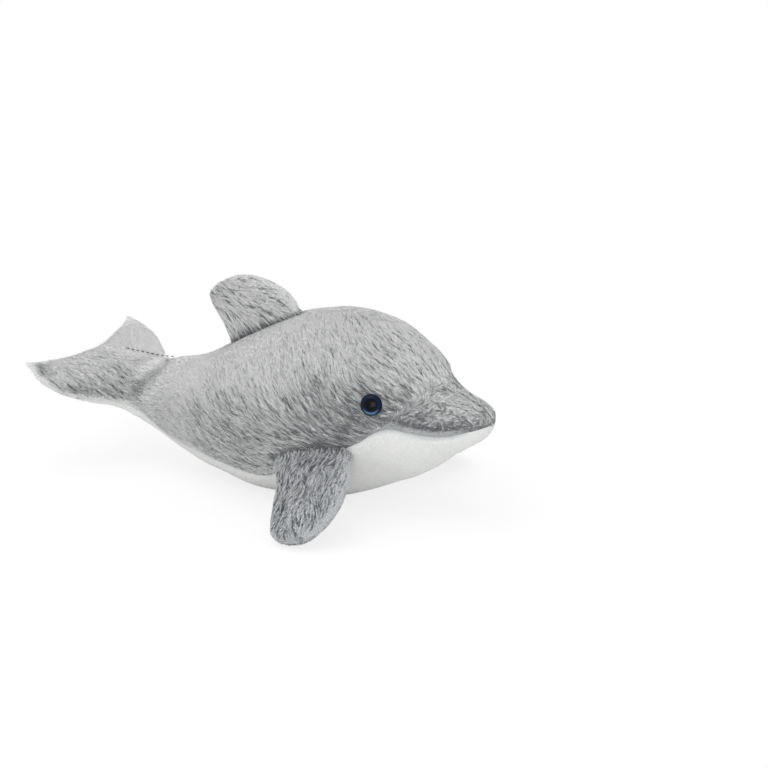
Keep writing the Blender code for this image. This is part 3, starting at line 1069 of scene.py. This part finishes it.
def pile_piece(name, base, panel, coat, context, reach=None):
    """The pile on a panel's skin, or on its stretch between two places along X, as one piece."""
    pile = context.scene.plush_pile
    rng = np.random.default_rng(pile.seed + sum(map(ord, name)))
    length, width, density = pile.length, pile.width, pile.per_square_centimetre
    if coat.short:
        length, width, density = pile.short_length, pile.short_width, pile.short_per_square_centimetre
    places, normals = scatter(base.data, density, rng)
    if reach:
        kept = (places[:, 0] >= reach[0]) & (places[:, 0] < reach[1])
        places, normals = places[kept], normals[kept]
    seams = distances(places, search_tree(*(panel.pile_seams or panel.sewn_to)))

    naps = coat.nap(places, seams)
    naps = unit(naps - normals * np.sum(naps * normals, axis=1)[:, None])
    clumps = wander(places, pile.clump_size, CLUMPS) + 0.5 * wander(places, pile.clump_size / 2, TUFTS)
    naps = turned(naps, normals, pile.ruffle * clumps * CLUMP_TURN)
    streaks = strands(places, naps, pile, coat.coarse)
    naps = turned(naps, normals, rng.normal(0.0, pile.stray, len(places)))

    lengths = length * rng.uniform(*LOCK_LENGTHS, len(places))
    lengths *= blend(SEAM_LENGTH, 1.0, smooth_step(0.0, LENGTH_REACH, seams))
    lengths *= blend(1.0, BEAK_LENGTH, smooth_step(0.0, LENGTH_REACH, beyond_crease(places)))
    lengths = trimmed(lengths, places, normals, naps, search_tree(*panel.shell), pile)
    widths = width * rng.uniform(*LOCK_WIDTHS, len(places))

    level, contrast = coat.tone(places + naps * lengths[:, None] * TONE_READING, normals, seams)
    # Painted shade darkens the partings between the strands
    tints = level + contrast * (STRAND_TINT * streaks - PARTING_SHADE * smooth_step(*PARTING, streaks))
    tints += PATCH_TINT * wander(places, PATCH_SIZE, PATCHES)
    tints += rng.normal(0.0, CHANCE_TINT, len(places))
    roots = places - normals * ROOT_DEPTH
    mesh = locks_mesh(name, roots, normals, naps, lengths, widths, tints, pile)
    return show(name, mesh, coat.pile)


# Stretches over which the body's pile changes, from where nothing has to where all has: along X for the
# head, darkened by painted shade, the tail, paled by painted light, the flukes, the ends of the lip and
# of its painted shade on the jaw, and the beak's tip, along Y for the right side, whose fluke takes
# painted shade, and up Z for the lip
HEAD = (0.010, 0.070)
TAIL = (-0.015, -0.060)
FLUKES = (-0.066, -0.080)
RIGHT_SIDE = (0.004, -0.014)
LIP_REAR = (0.070, 0.080)
JAW_REAR = (0.070, 0.078)
LIP_FRONT = (0.118, 0.108)
LIP_HEIGHT = (0.066, 0.058)
BEAK_TIP = (0.108, 0.118)

# The same, out from a seam: the lip's band of painted shade and the painted shade under it on the jaw,
# the painted shade at the corner of the mouth, the pale hem of a fluke and the painted light on the rims
# of the fin and flippers. The lip's line of painted shadow lies one width round a place
LIP_BAND = (0.0036, 0.0024)
JAW_SHADE = (0.0026, 0.0012)
LIP_SHADOW_LINE = 0.0042
LIP_SHADOW_WIDTH = 0.0009
MOUTH = (0.0030, 0.0)
FLUKE_HEM = (0.0022, 0.0008)
RIM_LIGHT = (0.0050, 0.0010)

# The same, out from another piece: the feet of the flippers and of the fin, and the body round them,
# where painted shade darkens the folds
FLIPPER_FOOT = (0.0050, 0.0010)
FIN_FOOT = (0.0032, 0.0010)
ROUND_FOOT = (0.0034, 0.0006)

# The same, by how far the cloth faces up, which takes painted light from above, and past the crease
# behind the beak, where the pile takes painted shade
FACING_UP = (-0.1, 0.85)
BEAK = (0.0, 0.006)

# The tones of painted shade that the lip's band and the creases come to, and how far a crease's painted
# shade reaches
LIP_SHADE_TONE = 0.38
CREASE_SHADE_TONE = 0.30
CREASE_SHADE = 0.0034


# Stretches over which the body's nap turns: up Z and along X over the shoulders, along X for the tail,
# the flukes and the lip's rear end, past the crease behind the beak, and out from the lip's seam
NAP_HEIGHT = (0.030, 0.072)
NAP_SHOULDER = (0.045, 0.078)
NAP_TAIL = (-0.030, -0.060)
NAP_FLUKE = (-0.064, -0.082)
NAP_LIP_REAR = (0.074, 0.084)
NAP_BEAK = (-0.004, 0.004)
NAP_BEAK_TIP = (0.0, 0.026)
NAP_LIP = (0.0040, 0.0012)

# How far tufts twist on the beak, in radians, and a flipper's nap sways, and the size of each
BEAK_TWIST = 1.9
BEAK_TUFT = 0.0036
FLIPPER_SWAY = 0.85
FLIPPER_WAVE = 0.0065


def body_nap(places, seams):
    """The body's nap: back and up over the flanks, outwards on the flukes, forward over the beak."""
    x, y, z = places.T
    inwards = -np.sign(y)
    flank = np.array((-0.87, 0.0, 0.36))
    shoulder = nap_rows(-0.64, 0.62 * inwards, 0.70)
    tail = np.array((-1.0, 0.0, 0.10))
    fluke = nap_rows(-0.75, -0.25 * inwards, 0.45)
    high = smooth_step(*NAP_HEIGHT, z) * (1.0 - smooth_step(*NAP_SHOULDER, x))
    nap = between(flank, shoulder, high)
    nap = between(nap, tail, smooth_step(*NAP_TAIL, x))
    nap = between(nap, fluke, smooth_step(*NAP_FLUKE, x))

    beyond = beyond_crease(places)
    beak_root = np.array((0.70, 0.0, 0.70))
    beak_tip = np.array((1.0, 0.0, -0.10))
    beak = between(beak_root, beak_tip, smooth_step(*NAP_BEAK_TIP, beyond))
    across = np.tile((0.0, -1.0, 0.0), (len(x), 1))
    beak = turned(beak, across, BEAK_TWIST * wander(places, BEAK_TUFT, TWISTS))
    nap = between(nap, beak, smooth_step(*NAP_BEAK, beyond))

    lip = np.array((1.0, 0.0, -0.12))
    near = smooth_step(*NAP_LIP, seams) * smooth_step(*NAP_LIP_REAR, x) * smooth_step(*LIP_HEIGHT, z)
    return between(nap, lip, near)


def limb_foot_shade(places):
    """How near each place lies to the foot of the fin or of a flipper, from 0 to 1, for the painted
    shade round them.
    """
    names = (*FIN_PANELS, *flipper_panels("left"), *flipper_panels("right"))
    return smooth_step(*ROUND_FOOT, distances(places, search_tree(*names), furthest=0.006))


def foot_shade(places, reach):
    """How near each place on a limb lies to the body, from 0 to 1, for the painted shade in the fold
    there.
    """
    return smooth_step(*reach, distances(places, search_tree(*BODY_PANELS), furthest=0.010))


def fin_rise(places):
    """How high up the fin each place lies, from 0 to 1."""
    low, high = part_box("fin_panel_right")
    return smooth_step(low[2], high[2], places[:, 2])


def body_tone_and_shade(places, normals, seams):
    """Pale and smooth on top, where painted light from above falls, darker and more broken on the
    flanks, the beak and in the creases. Painted shade darkens the head, its cheeks, the beak and the
    near fluke, and painted light makes the tail paler; painted shade also lies in the creases, in a band
    and a line under the lip, at the mouth and round the feet of the fin and flippers.

    Like each tone, it is the pile's level, from 0, dark, to 1, pale, and then its contrast, which is
    how clearly the strands show.
    """
    x, y, z = places.T
    top = smooth_step(*FACING_UP, normals[:, 2])
    beak = smooth_step(*BEAK, beyond_crease(places))
    head = smooth_step(*HEAD, x)
    tail = smooth_step(*TAIL, x)
    fluke = smooth_step(*FLUKES, x) * smooth_step(*RIGHT_SIDE, y)
    # Painted light on top and over the tail; painted shade on the head, its cheeks, the beak and the
    # near fluke
    level = 0.49 + 0.25 * top - 0.12 * head - 0.14 * head * (1.0 - top) - 0.10 * beak
    level += 0.14 * tail - 0.26 * fluke + 0.50 * fluke * smooth_step(*FLUKE_HEM, seams)
    contrast = 0.40 - 0.20 * top + 0.28 * beak + 0.22 * head - 0.20 * tail + 0.26 * fluke

    # Painted shade: a blue-grey band and a dark line under the overhanging lip, darker pile at the
    # mouth, in the creases and round the feet of the fin and flippers
    lip = smooth_step(*LIP_REAR, x) * smooth_step(*LIP_FRONT, x) * smooth_step(*LIP_HEIGHT, z)
    lip_shade_band = lip * smooth_step(*LIP_BAND, seams)
    lip_shadow_line = lip * np.exp(-((seams - LIP_SHADOW_LINE) / LIP_SHADOW_WIDTH) ** 2)
    mouth_shade = smooth_step(*BEAK_TIP, x) * smooth_step(*MOUTH, seams)
    level = blend(level, LIP_SHADE_TONE, lip_shade_band)
    level = blend(level, CREASE_SHADE_TONE, crease_share(places, CREASE_SHADE))
    level -= 0.34 * lip_shadow_line + 0.12 * mouth_shade + 0.26 * limb_foot_shade(places)
    return level, contrast * (1.0 - 0.85 * lip_shade_band)


def belly_tone_and_shade(places, normals, seams):
    """White all over, but blue-grey where the lip shades the jaw."""
    x = places[:, 0]
    shade = smooth_step(*JAW_SHADE, seams) * smooth_step(*JAW_REAR, x) * smooth_step(*LIP_FRONT, x)
    return 0.84 - 0.50 * shade, np.full(len(x), 0.03)


def limb_tone_and_shade(places, normals, seams):
    """Broken into clear clumps all over, pale along the rim with painted light where the light comes
    through, and darker with painted shade at the foot by the body.
    """
    rim = smooth_step(*RIM_LIGHT, seams)
    return 0.46 + 0.20 * rim - 0.12 * foot_shade(places, FLIPPER_FOOT), 0.86 - 0.36 * rim


def fin_tone_and_shade(places, normals, seams):
    """Darker low on the fin, with painted shade in its fold with the back, and paler up the fin and pale
    along its top, with painted light.
    """
    rise = fin_rise(places)
    rim = smooth_step(*RIM_LIGHT, seams)
    level = 0.50 + 0.16 * rise + 0.12 * rim - 0.36 * foot_shade(places, FIN_FOOT)
    return level, 0.58 - 0.12 * rise - 0.1 * rim


def belly_nap(places, seams):
    """The belly's short nap lies towards the tail."""
    return np.tile((-1.0, 0.0, 0.0), (len(places), 1))


def fin_nap(places, seams):
    """The fin's nap starts up and back at its foot and levels out towards its rear tip."""
    return between(np.array((-0.40, 0.0, 0.92)), np.array((-1.0, 0.0, 0.05)), fin_rise(places))


def flipper_nap(places, seams):
    """A flipper's nap runs from its root to its tip in slow waves."""
    sway = FLIPPER_SWAY * wander(places, FLIPPER_WAVE, WAVES)
    return nap_rows(0.16 + sway, 0.80 * np.sign(places[:, 1]), -0.58)


# A lock's colour, from 0 at the dark root, which is painted shade among the locks, to 1 at the pale tip:
# its share at the foot, how much of it is gained along the lock, and how much the lock's own tint, with
# its painted light and shade, moves it
ROOT_SHARE = 0.22
ALONG_SHARE = 0.85
TINT_SHARE = 1.7


def pile_finish(name, tip, root):
    """Soft pile with painted shade dark among the roots, with single locks lighter or darker than the
    rest.
    """
    finish = Finish(name, Roughness=0.9, Sheen_Weight=0.25, Sheen_Roughness=0.5, Specular_IOR_Level=0.25)
    along = finish.attribute("along")
    shade = finish.attribute("shade")
    share = (along * ALONG_SHARE + (shade - 0.5) * TINT_SHARE + ROOT_SHARE).limit(0.0, 1.0)
    finish.paint(finish.mix(share, root, tip))
    finish.rough((shade * -0.2 + 0.95).limit(0.5, 1.0))
    return finish


def cloth_finish(name, light, dark, size):
    """Knitted backing seen down between the locks of pile, as light or dark as the pile on it, painted
    light and shade included.
    """
    finish = Finish(name, Roughness=0.95, Sheen_Weight=0.2, Specular_IOR_Level=0.2)
    fuzz = finish.noise(size, 3.0)
    patch = finish.noise(size * 9.0)
    share = (finish.attribute("tone") * 0.9 + fuzz * 0.5 + patch * 0.2 - 0.35).limit(0.0, 1.0)
    finish.paint(finish.mix(share, dark, light))
    finish.rough(fuzz * 0.1 + 0.88)
    finish.bump(fuzz, 0.0006)
    return finish


def new_coat(name, tip, root, weave=0.0012, **rest):
    """A coat whose backing, of threads of one size, and whose pile have the same colours."""
    backing = cloth_finish(f"{name}_backing", tip, root, weave)
    return Coat(backing, pile_finish(f"{name}_pile", tip, root), **rest)


# Each side's pile is too large for one piece, so it is made as one for each stretch along X
SIDE_STRETCHES = {"front": (0.040, 1.0), "middle": (-0.020, 0.040), "rear": (-1.0, -0.020)}


class PLUSH_OT_body(bpy.types.Operator):
    """Makes the body's two grey skins and its white one, with their pile"""

    bl_idname = "plush.body"
    bl_label = "Body"

    def execute(self, context):
        cloth = context.scene.plush_cloth
        colours = context.scene.plush_colours
        grey = new_coat(
            "grey", colours.grey_tip, colours.grey_root_shade, slot="grey_plush", fill=0.8,
            depths=(cloth.nap_depth, cloth.seam_depth), tone=body_tone_and_shade, nap=body_nap,
        )
        for side, other in SIDES:
            limbs = (f"fin_panel_{side}", *flipper_panels(side))
            panel = Panel(
                f"side_panel_{side}", BODY_PANELS, (f"side_panel_{other}", "belly_panel", *limbs),
                "body_filling", pile_seams=("belly_panel",),
            )
            made = skin(f"skin_{side}", panel, grey, context)
            for stretch, reach in SIDE_STRETCHES.items():
                pile_piece(f"pile_{side}_{stretch}", made, panel, grey, context, reach)
        white = new_coat(
            "white", colours.white_tip, colours.white_root_shade, 0.0010, slot="white_plush", fill=0.8,
            depths=(cloth.short_nap_depth, cloth.seam_depth), tone=belly_tone_and_shade, nap=belly_nap, short=True,
        )
        sides = ("side_panel_left", "side_panel_right")
        panel = Panel("belly_panel", BODY_PANELS, sides, "body_filling")
        made = skin("skin_belly", panel, white, context)
        pile_piece("pile_belly", made, panel, white, context)
        return {"FINISHED"}


class PLUSH_OT_fin(bpy.types.Operator):
    """Makes the fin's two skins and their pile"""

    bl_idname = "plush.fin"
    bl_label = "Back fin"

    def execute(self, context):
        cloth = context.scene.plush_cloth
        colours = context.scene.plush_colours
        coat = new_coat(
            "fin", colours.grey_tip, colours.grey_root_shade, slot="grey_plush", fill=0.7,
            depths=(cloth.blade_depth, cloth.blade_seam_depth), tone=fin_tone_and_shade, nap=fin_nap,
        )
        for side, other in SIDES:
            panel = Panel(
                f"fin_panel_{side}", FIN_PANELS, (f"fin_panel_{other}",), "fin_filling",
                carrier=f"side_panel_{side}",
            )
            made = skin(f"fin_skin_{side}", panel, coat, context)
            pile_piece(f"fin_pile_{side}", made, panel, coat, context)
        return {"FINISHED"}


class PLUSH_OT_flippers(bpy.types.Operator):
    """Makes the flippers' skins and their darker pile"""

    bl_idname = "plush.flippers"
    bl_label = "Flippers"

    def execute(self, context):
        cloth = context.scene.plush_cloth
        colours = context.scene.plush_colours
        coat = new_coat(
            "flipper", colours.flipper_tip, colours.flipper_root, slot="grey_plush", fill=0.7,
            depths=(cloth.blade_depth, cloth.blade_seam_depth), tone=limb_tone_and_shade, nap=flipper_nap,
            coarse=0.85,
        )
        for side, _ in SIDES:
            shell = flipper_panels(side)
            for face, other in (shell, shell[::-1]):
                panel = Panel(
                    face, shell, (other,), f"flipper_{side}_filling", carrier=f"side_panel_{side}"
                )
                made = skin(face.replace("flipper", "flipper_skin"), panel, coat, context)
                if side == "left":
                    self.tuck(made.data, cloth.far_tuck)
                pile_piece(face.replace("flipper", "flipper_pile"), made, panel, coat, context)
        return {"FINISHED"}

    def tuck(self, mesh, reach):
        """Lays a flipper's skin back, from nothing at its root to its whole reach at the tip."""
        points = mesh_points(mesh)
        away = distances(points, search_tree(*BODY_PANELS))
        points[:, 0] -= reach * smooth_step(0.0, 0.020, away)
        mesh.vertices.foreach_set("co", points.ravel())
        mesh.update()


# An eye's rings, each from where it starts to change to where it has changed, as shares of its radius
PUPIL_EDGE = (0.52, 0.66)
CRESCENT_INNER_EDGE = (0.62, 0.74)
CRESCENT_OUTER_EDGE = (0.78, 0.90)
IRIS_EDGE = (0.84, 0.93)
PUPIL_LIFT = 0.02

# The crescent of light low in the ring: how fast it grows downwards, from how low, and how ragged it is
CRESCENT_GROWTH = -2.6
CRESCENT_START = 0.45
CRESCENT_RAGGEDNESS = 0.3

# How far a dome goes on below its widest place, as a share of its height, and how much wider than the
# dome its UV map is
DOME_SKIRT = 0.25
EYE_MAP = 1.025


class PLUSH_OT_eyes(bpy.types.Operator):
    """Makes the glossy plastic eyes on their shanks"""

    bl_idname = "plush.eyes"
    bl_label = "Eyes"

    def execute(self, context):
        finish = self.finish(context.scene.plush_colours)
        for side, _ in SIDES:
            self.dome(side, finish)
        return {"FINISHED"}

    def finish(self, colours):
        """Plastic with a black pupil in a blue ring, lighter low down with a painted crescent of light,
        and a dark edge.
        """
        finish = Finish("eye_gloss", Specular_IOR_Level=0.06, Coat_Roughness=0.08)
        place = finish.node("ShaderNodeUVMap", {"uv_map": "OFBake"}).outputs["UV"]
        parts = finish.node("ShaderNodeSeparateXYZ", None, {"Vector": place})
        across = Value(finish, parts.outputs["X"]) - 0.5
        up = Value(finish, parts.outputs["Y"]) - 0.5
        away = (across * across + up * up).math("SQRT") * 2.0
        lifted = up - PUPIL_LIFT
        from_pupil = (across * across + lifted * lifted).math("SQRT") * 2.0
        ragged = finish.noise(0.0016, 2.0) * CRESCENT_RAGGEDNESS
        # Painted light: a crescent of light gathered low in the ring
        glow = (up * CRESCENT_GROWTH - CRESCENT_START + ragged).step(0.0, 0.9)
        glow = glow * (from_pupil.step(*CRESCENT_INNER_EDGE) - from_pupil.step(*CRESCENT_OUTER_EDGE))
        iris = finish.mix(glow, colours.iris, colours.iris_light)
        colour = finish.mix(from_pupil.step(*PUPIL_EDGE), colours.pupil, iris)
        finish.paint(finish.mix(away.step(*IRIS_EDGE), colour, colours.rim))
        finish.rough(finish.noise(0.0009) * 0.08 + 0.14)
        finish.feed(finish.shader.inputs["Coat Weight"], 0.07)
        return finish

    def dome(self, side, finish):
        """One eye: a low polished dome with a rounded rim."""
        seat, outward, radius, height = eye_axis(side)
        bm = bmesh.new()
        bmesh.ops.create_uvsphere(bm, u_segments=40, v_segments=24, radius=1.0)
        bmesh.ops.bisect_plane(
            bm, geom=bm.verts[:] + bm.edges[:] + bm.faces[:], plane_co=(0.0, 0.0, -DOME_SKIRT),
            plane_no=(0.0, 0.0, 1.0), clear_inner=True,
        )
        bmesh.ops.holes_fill(bm, edges=[edge for edge in bm.edges if edge.is_boundary])
        bmesh.ops.scale(bm, verts=bm.verts, vec=(radius, radius, height))
        depth, shank = eye_shank(side)
        base = min(vertex.co.z for vertex in bm.verts)
        rod = bmesh.ops.create_cone(
            bm, cap_ends=True, segments=20, radius1=shank, radius2=shank, depth=depth + base
        )
        bmesh.ops.translate(bm, verts=rod["verts"], vec=(0.0, 0.0, (base - depth) / 2))
        layer = bm.loops.layers.uv.new("OFBake")
        for face in bm.faces:
            for loop in face.loops:
                spot = loop.vert.co / (2.0 * radius * EYE_MAP)
                loop[layer].uv = (0.5 + spot.x, 0.5 + spot.y)
        facing = Vector(outward)
        across = Vector((0.0, 0.0, 1.0)).cross(facing).normalized()
        up = facing.cross(across)
        for vertex in bm.verts:
            local = vertex.co.copy()
            vertex.co = Vector(seat) + across * local.x + up * local.y + facing * local.z
        bmesh.ops.recalc_face_normals(bm, faces=bm.faces)
        mesh = bpy.data.meshes.new(f"eye_dome_{side}")
        bm.to_mesh(mesh)
        bm.free()
        piece = show(f"eye_dome_{side}", mesh, finish)
        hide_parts(f"eye_{side}")


# How far to the left of the middle seam the stitches are laid, so that none falls in it
BESIDE_SEAM = 0.0005


class PLUSH_OT_stitches(bpy.types.Operator):
    """Sews the row of dark stitches that shows along the middle of the tail"""

    bl_idname = "plush.stitches"
    bl_label = "Tail stitches"

    def execute(self, context):
        thread = Finish("sewing_thread", Roughness=0.8)
        colour = context.scene.plush_colours.thread
        thread.paint(thread.mix(thread.noise(0.0006), colour * 0.6, colour))
        settings = context.scene.plush_stitches
        tree = search_tree(*BODY_PANELS)
        bm = bmesh.new()
        for index in range(settings.count):
            start = settings.rear + settings.spacing * index
            ends = [self.on_back(tree, start + share * settings.length) for share in (0.0, 1.0)]
            along = ends[1] - ends[0]
            made = bmesh.ops.create_uvsphere(bm, u_segments=8, v_segments=6, radius=0.5)["verts"]
            bmesh.ops.scale(bm, verts=made, vec=(settings.width, settings.width, along.length))
            bmesh.ops.rotate(bm, verts=made, matrix=along.to_track_quat("Z", "Y").to_matrix())
            bmesh.ops.translate(bm, verts=made, vec=(ends[0] + ends[1]) / 2)
        mesh = bpy.data.meshes.new("tail_stitches")
        bm.to_mesh(mesh)
        bm.free()
        show("tail_stitches", mesh, thread)
        return {"FINISHED"}

    def on_back(self, tree, x):
        """The place on the middle of the back above a place along X."""
        above = Vector((x, BESIDE_SEAM, 0.2))
        hit = tree.ray_cast(above, Vector((0.0, 0.0, -1.0)))[0]
        if hit is None:
            raise RuntimeError("the row of stitches leaves the back")
        return hit


class PLUSH_OT_inside(bpy.types.Operator):
    """Gives the filling and the eyes' washers their materials"""

    bl_idname = "plush.inside"
    bl_label = "Filling and washers"

    def execute(self, context):
        colours = context.scene.plush_colours
        fibre = Finish("curled_fibre", Roughness=1.0)
        wool = fibre.noise(0.0025, 4.0)
        fibre.paint(fibre.mix(wool, colours.fibre * 0.8, colours.fibre))
        fibre.bump(wool, 0.0015)
        washer = Finish("moulded_washer", Roughness=0.45)
        grain = washer.noise(0.0008)
        washer.paint(washer.mix(grain, colours.washer * 0.9, colours.washer))
        washer.rough(grain * 0.15 + 0.38)
        for name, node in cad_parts.items():
            if name.endswith("filling"):
                node.material_slots[0].material = fibre.material
            if name.startswith("eye_washer"):
                node.material_slots[0].material = washer.material
        return {"FINISHED"}


class PLUSH_OT_stage(bpy.types.Operator):
    """Sets up the white floor, the soft lamps and the camera"""

    bl_idname = "plush.stage"
    bl_label = "Stage"

    def execute(self, context):
        stage = context.scene.plush_stage
        self.floor(context, stage)
        self.sky(context, stage)
        self.lamp(context, "overhead", place=(-0.25, -0.35, 1.5), size=1.4, power=stage.key)
        self.lamp(context, "front", place=(1.1, -1.7, 0.45), size=1.0, power=stage.fill)
        self.camera(context, stage)
        context.scene.view_settings.view_transform = "Standard"
        return {"FINISHED"}

    def floor(self, context, stage):
        """A wide pale floor that shows white and keeps the toy's shadow."""
        bm = bmesh.new()
        bmesh.ops.create_grid(bm, x_segments=1, y_segments=1, size=6.0)
        mesh = bpy.data.meshes.new("floor")
        bm.to_mesh(mesh)
        bm.free()
        floor = bpy.data.objects.new("floor", mesh)
        context.scene.collection.objects.link(floor)
        paint = Finish("floor_paint", Roughness=0.9, Specular_IOR_Level=0.0)
        paint.paint(paint.mix(paint.noise(0.3), stage.floor, stage.floor * 1.01))
        rays = paint.node("ShaderNodeLightPath").outputs
        seen = Value(paint, rays["Is Camera Ray"]).math("MAXIMUM", Value(paint, rays["Is Glossy Ray"]))
        seen = seen.math("MAXIMUM", Value(paint, rays["Is Transmission Ray"]))
        away = paint.number("ShaderNodeVectorMath", {"operation": "LENGTH"}, {0: paint.place()}, "Value")
        seen = seen * (away.step(low=0.15, high=0.45) * (1.0 - stage.glow) + stage.glow)
        white = paint.node("ShaderNodeEmission", None, {"Color": (1.0, 1.0, 1.0), "Strength": 1.0})
        shown = paint.node("ShaderNodeMixShader")
        for socket, value in zip(shown.inputs, (seen, paint.shader.outputs[0], white.outputs[0])):
            paint.feed(socket, value)
        paint.feed(paint.tree.nodes["Material Output"].inputs["Surface"], shown.outputs[0])
        mesh.materials.append(paint.material)

    def sky(self, context, stage):
        """Even white light from all round."""
        world = bpy.data.worlds.new("sky")
        world.use_nodes = True
        background = world.node_tree.nodes["Background"]
        background.inputs["Color"].default_value = (1.0, 1.0, 1.0, 1.0)
        background.inputs["Strength"].default_value = stage.sky
        context.scene.world = world

    def lamp(self, context, name, place, size, power):
        """A large square lamp that faces the toy."""
        light = bpy.data.lights.new(name, "AREA")
        light.size = size
        light.energy = power
        lamp = bpy.data.objects.new(name, light)
        lamp.location = place
        lamp.rotation_euler = (-Vector(place)).to_track_quat("-Z", "Y").to_euler()
        context.scene.collection.objects.link(lamp)

    def camera(self, context, stage):
        """The camera stands off the beak's right and looks down at the toy."""
        toward = Vector((
            math.sin(stage.turn) * math.cos(stage.rise),
            -math.cos(stage.turn) * math.cos(stage.rise),
            math.sin(stage.rise),
        ))
        right = Vector((math.cos(stage.turn), math.sin(stage.turn), 0.0))
        up = toward.cross(right)
        lens = bpy.data.cameras.new("camera")
        lens.lens = stage.lens
        lens.sensor_width = 36.0
        lens.clip_end = 20.0
        camera = bpy.data.objects.new("camera", lens)
        camera.location = toward * stage.distance
        aim = right * stage.aim_right + up * stage.aim_up
        camera.rotation_euler = (aim - camera.location).to_track_quat("-Z", "Y").to_euler()
        context.scene.collection.objects.link(camera)
        context.scene.camera = camera


class PLUSH_PT_dolphin(bpy.types.Panel):
    """Lists the steps that dress the toy, and its sizes and colours"""

    bl_label = "Plush Dolphin"
    bl_space_type = "VIEW_3D"
    bl_region_type = "UI"
    bl_category = "Plush"

    def draw(self, context):
        for step in STEPS:
            self.layout.operator(step.bl_idname)
        for group in GROUPS:
            settings = getattr(context.scene, group)
            box = self.layout.box()
            for name in settings.__annotations__:
                box.prop(settings, name)


STEPS = (
    PLUSH_OT_stage,
    PLUSH_OT_body,
    PLUSH_OT_fin,
    PLUSH_OT_flippers,
    PLUSH_OT_eyes,
    PLUSH_OT_stitches,
    PLUSH_OT_inside,
)
GROUPS = {
    "plush_cloth": PlushCloth,
    "plush_pile": PlushPile,
    "plush_stitches": PlushStitches,
    "plush_colours": PlushColours,
    "plush_stage": PlushStage,
}


def register():
    """Registers the settings, the steps and the panel."""
    for name, group in GROUPS.items():
        bpy.utils.register_class(group)
        setattr(bpy.types.Scene, name, PointerProperty(type=group))
    for made in (*STEPS, PLUSH_PT_dolphin):
        bpy.utils.register_class(made)


def unregister():
    """Takes them out again."""
    for made in (PLUSH_PT_dolphin, *reversed(STEPS)):
        bpy.utils.unregister_class(made)
    for name, group in reversed(GROUPS.items()):
        delattr(bpy.types.Scene, name)
        bpy.utils.unregister_class(group)


def main():
    """Dresses the toy step by step."""
    register()
    bpy.ops.plush.stage()
    bpy.ops.plush.body()
    bpy.ops.plush.fin()
    bpy.ops.plush.flippers()
    bpy.ops.plush.eyes()
    bpy.ops.plush.stitches()
    bpy.ops.plush.inside()


if __name__ == "__main__":
    main()
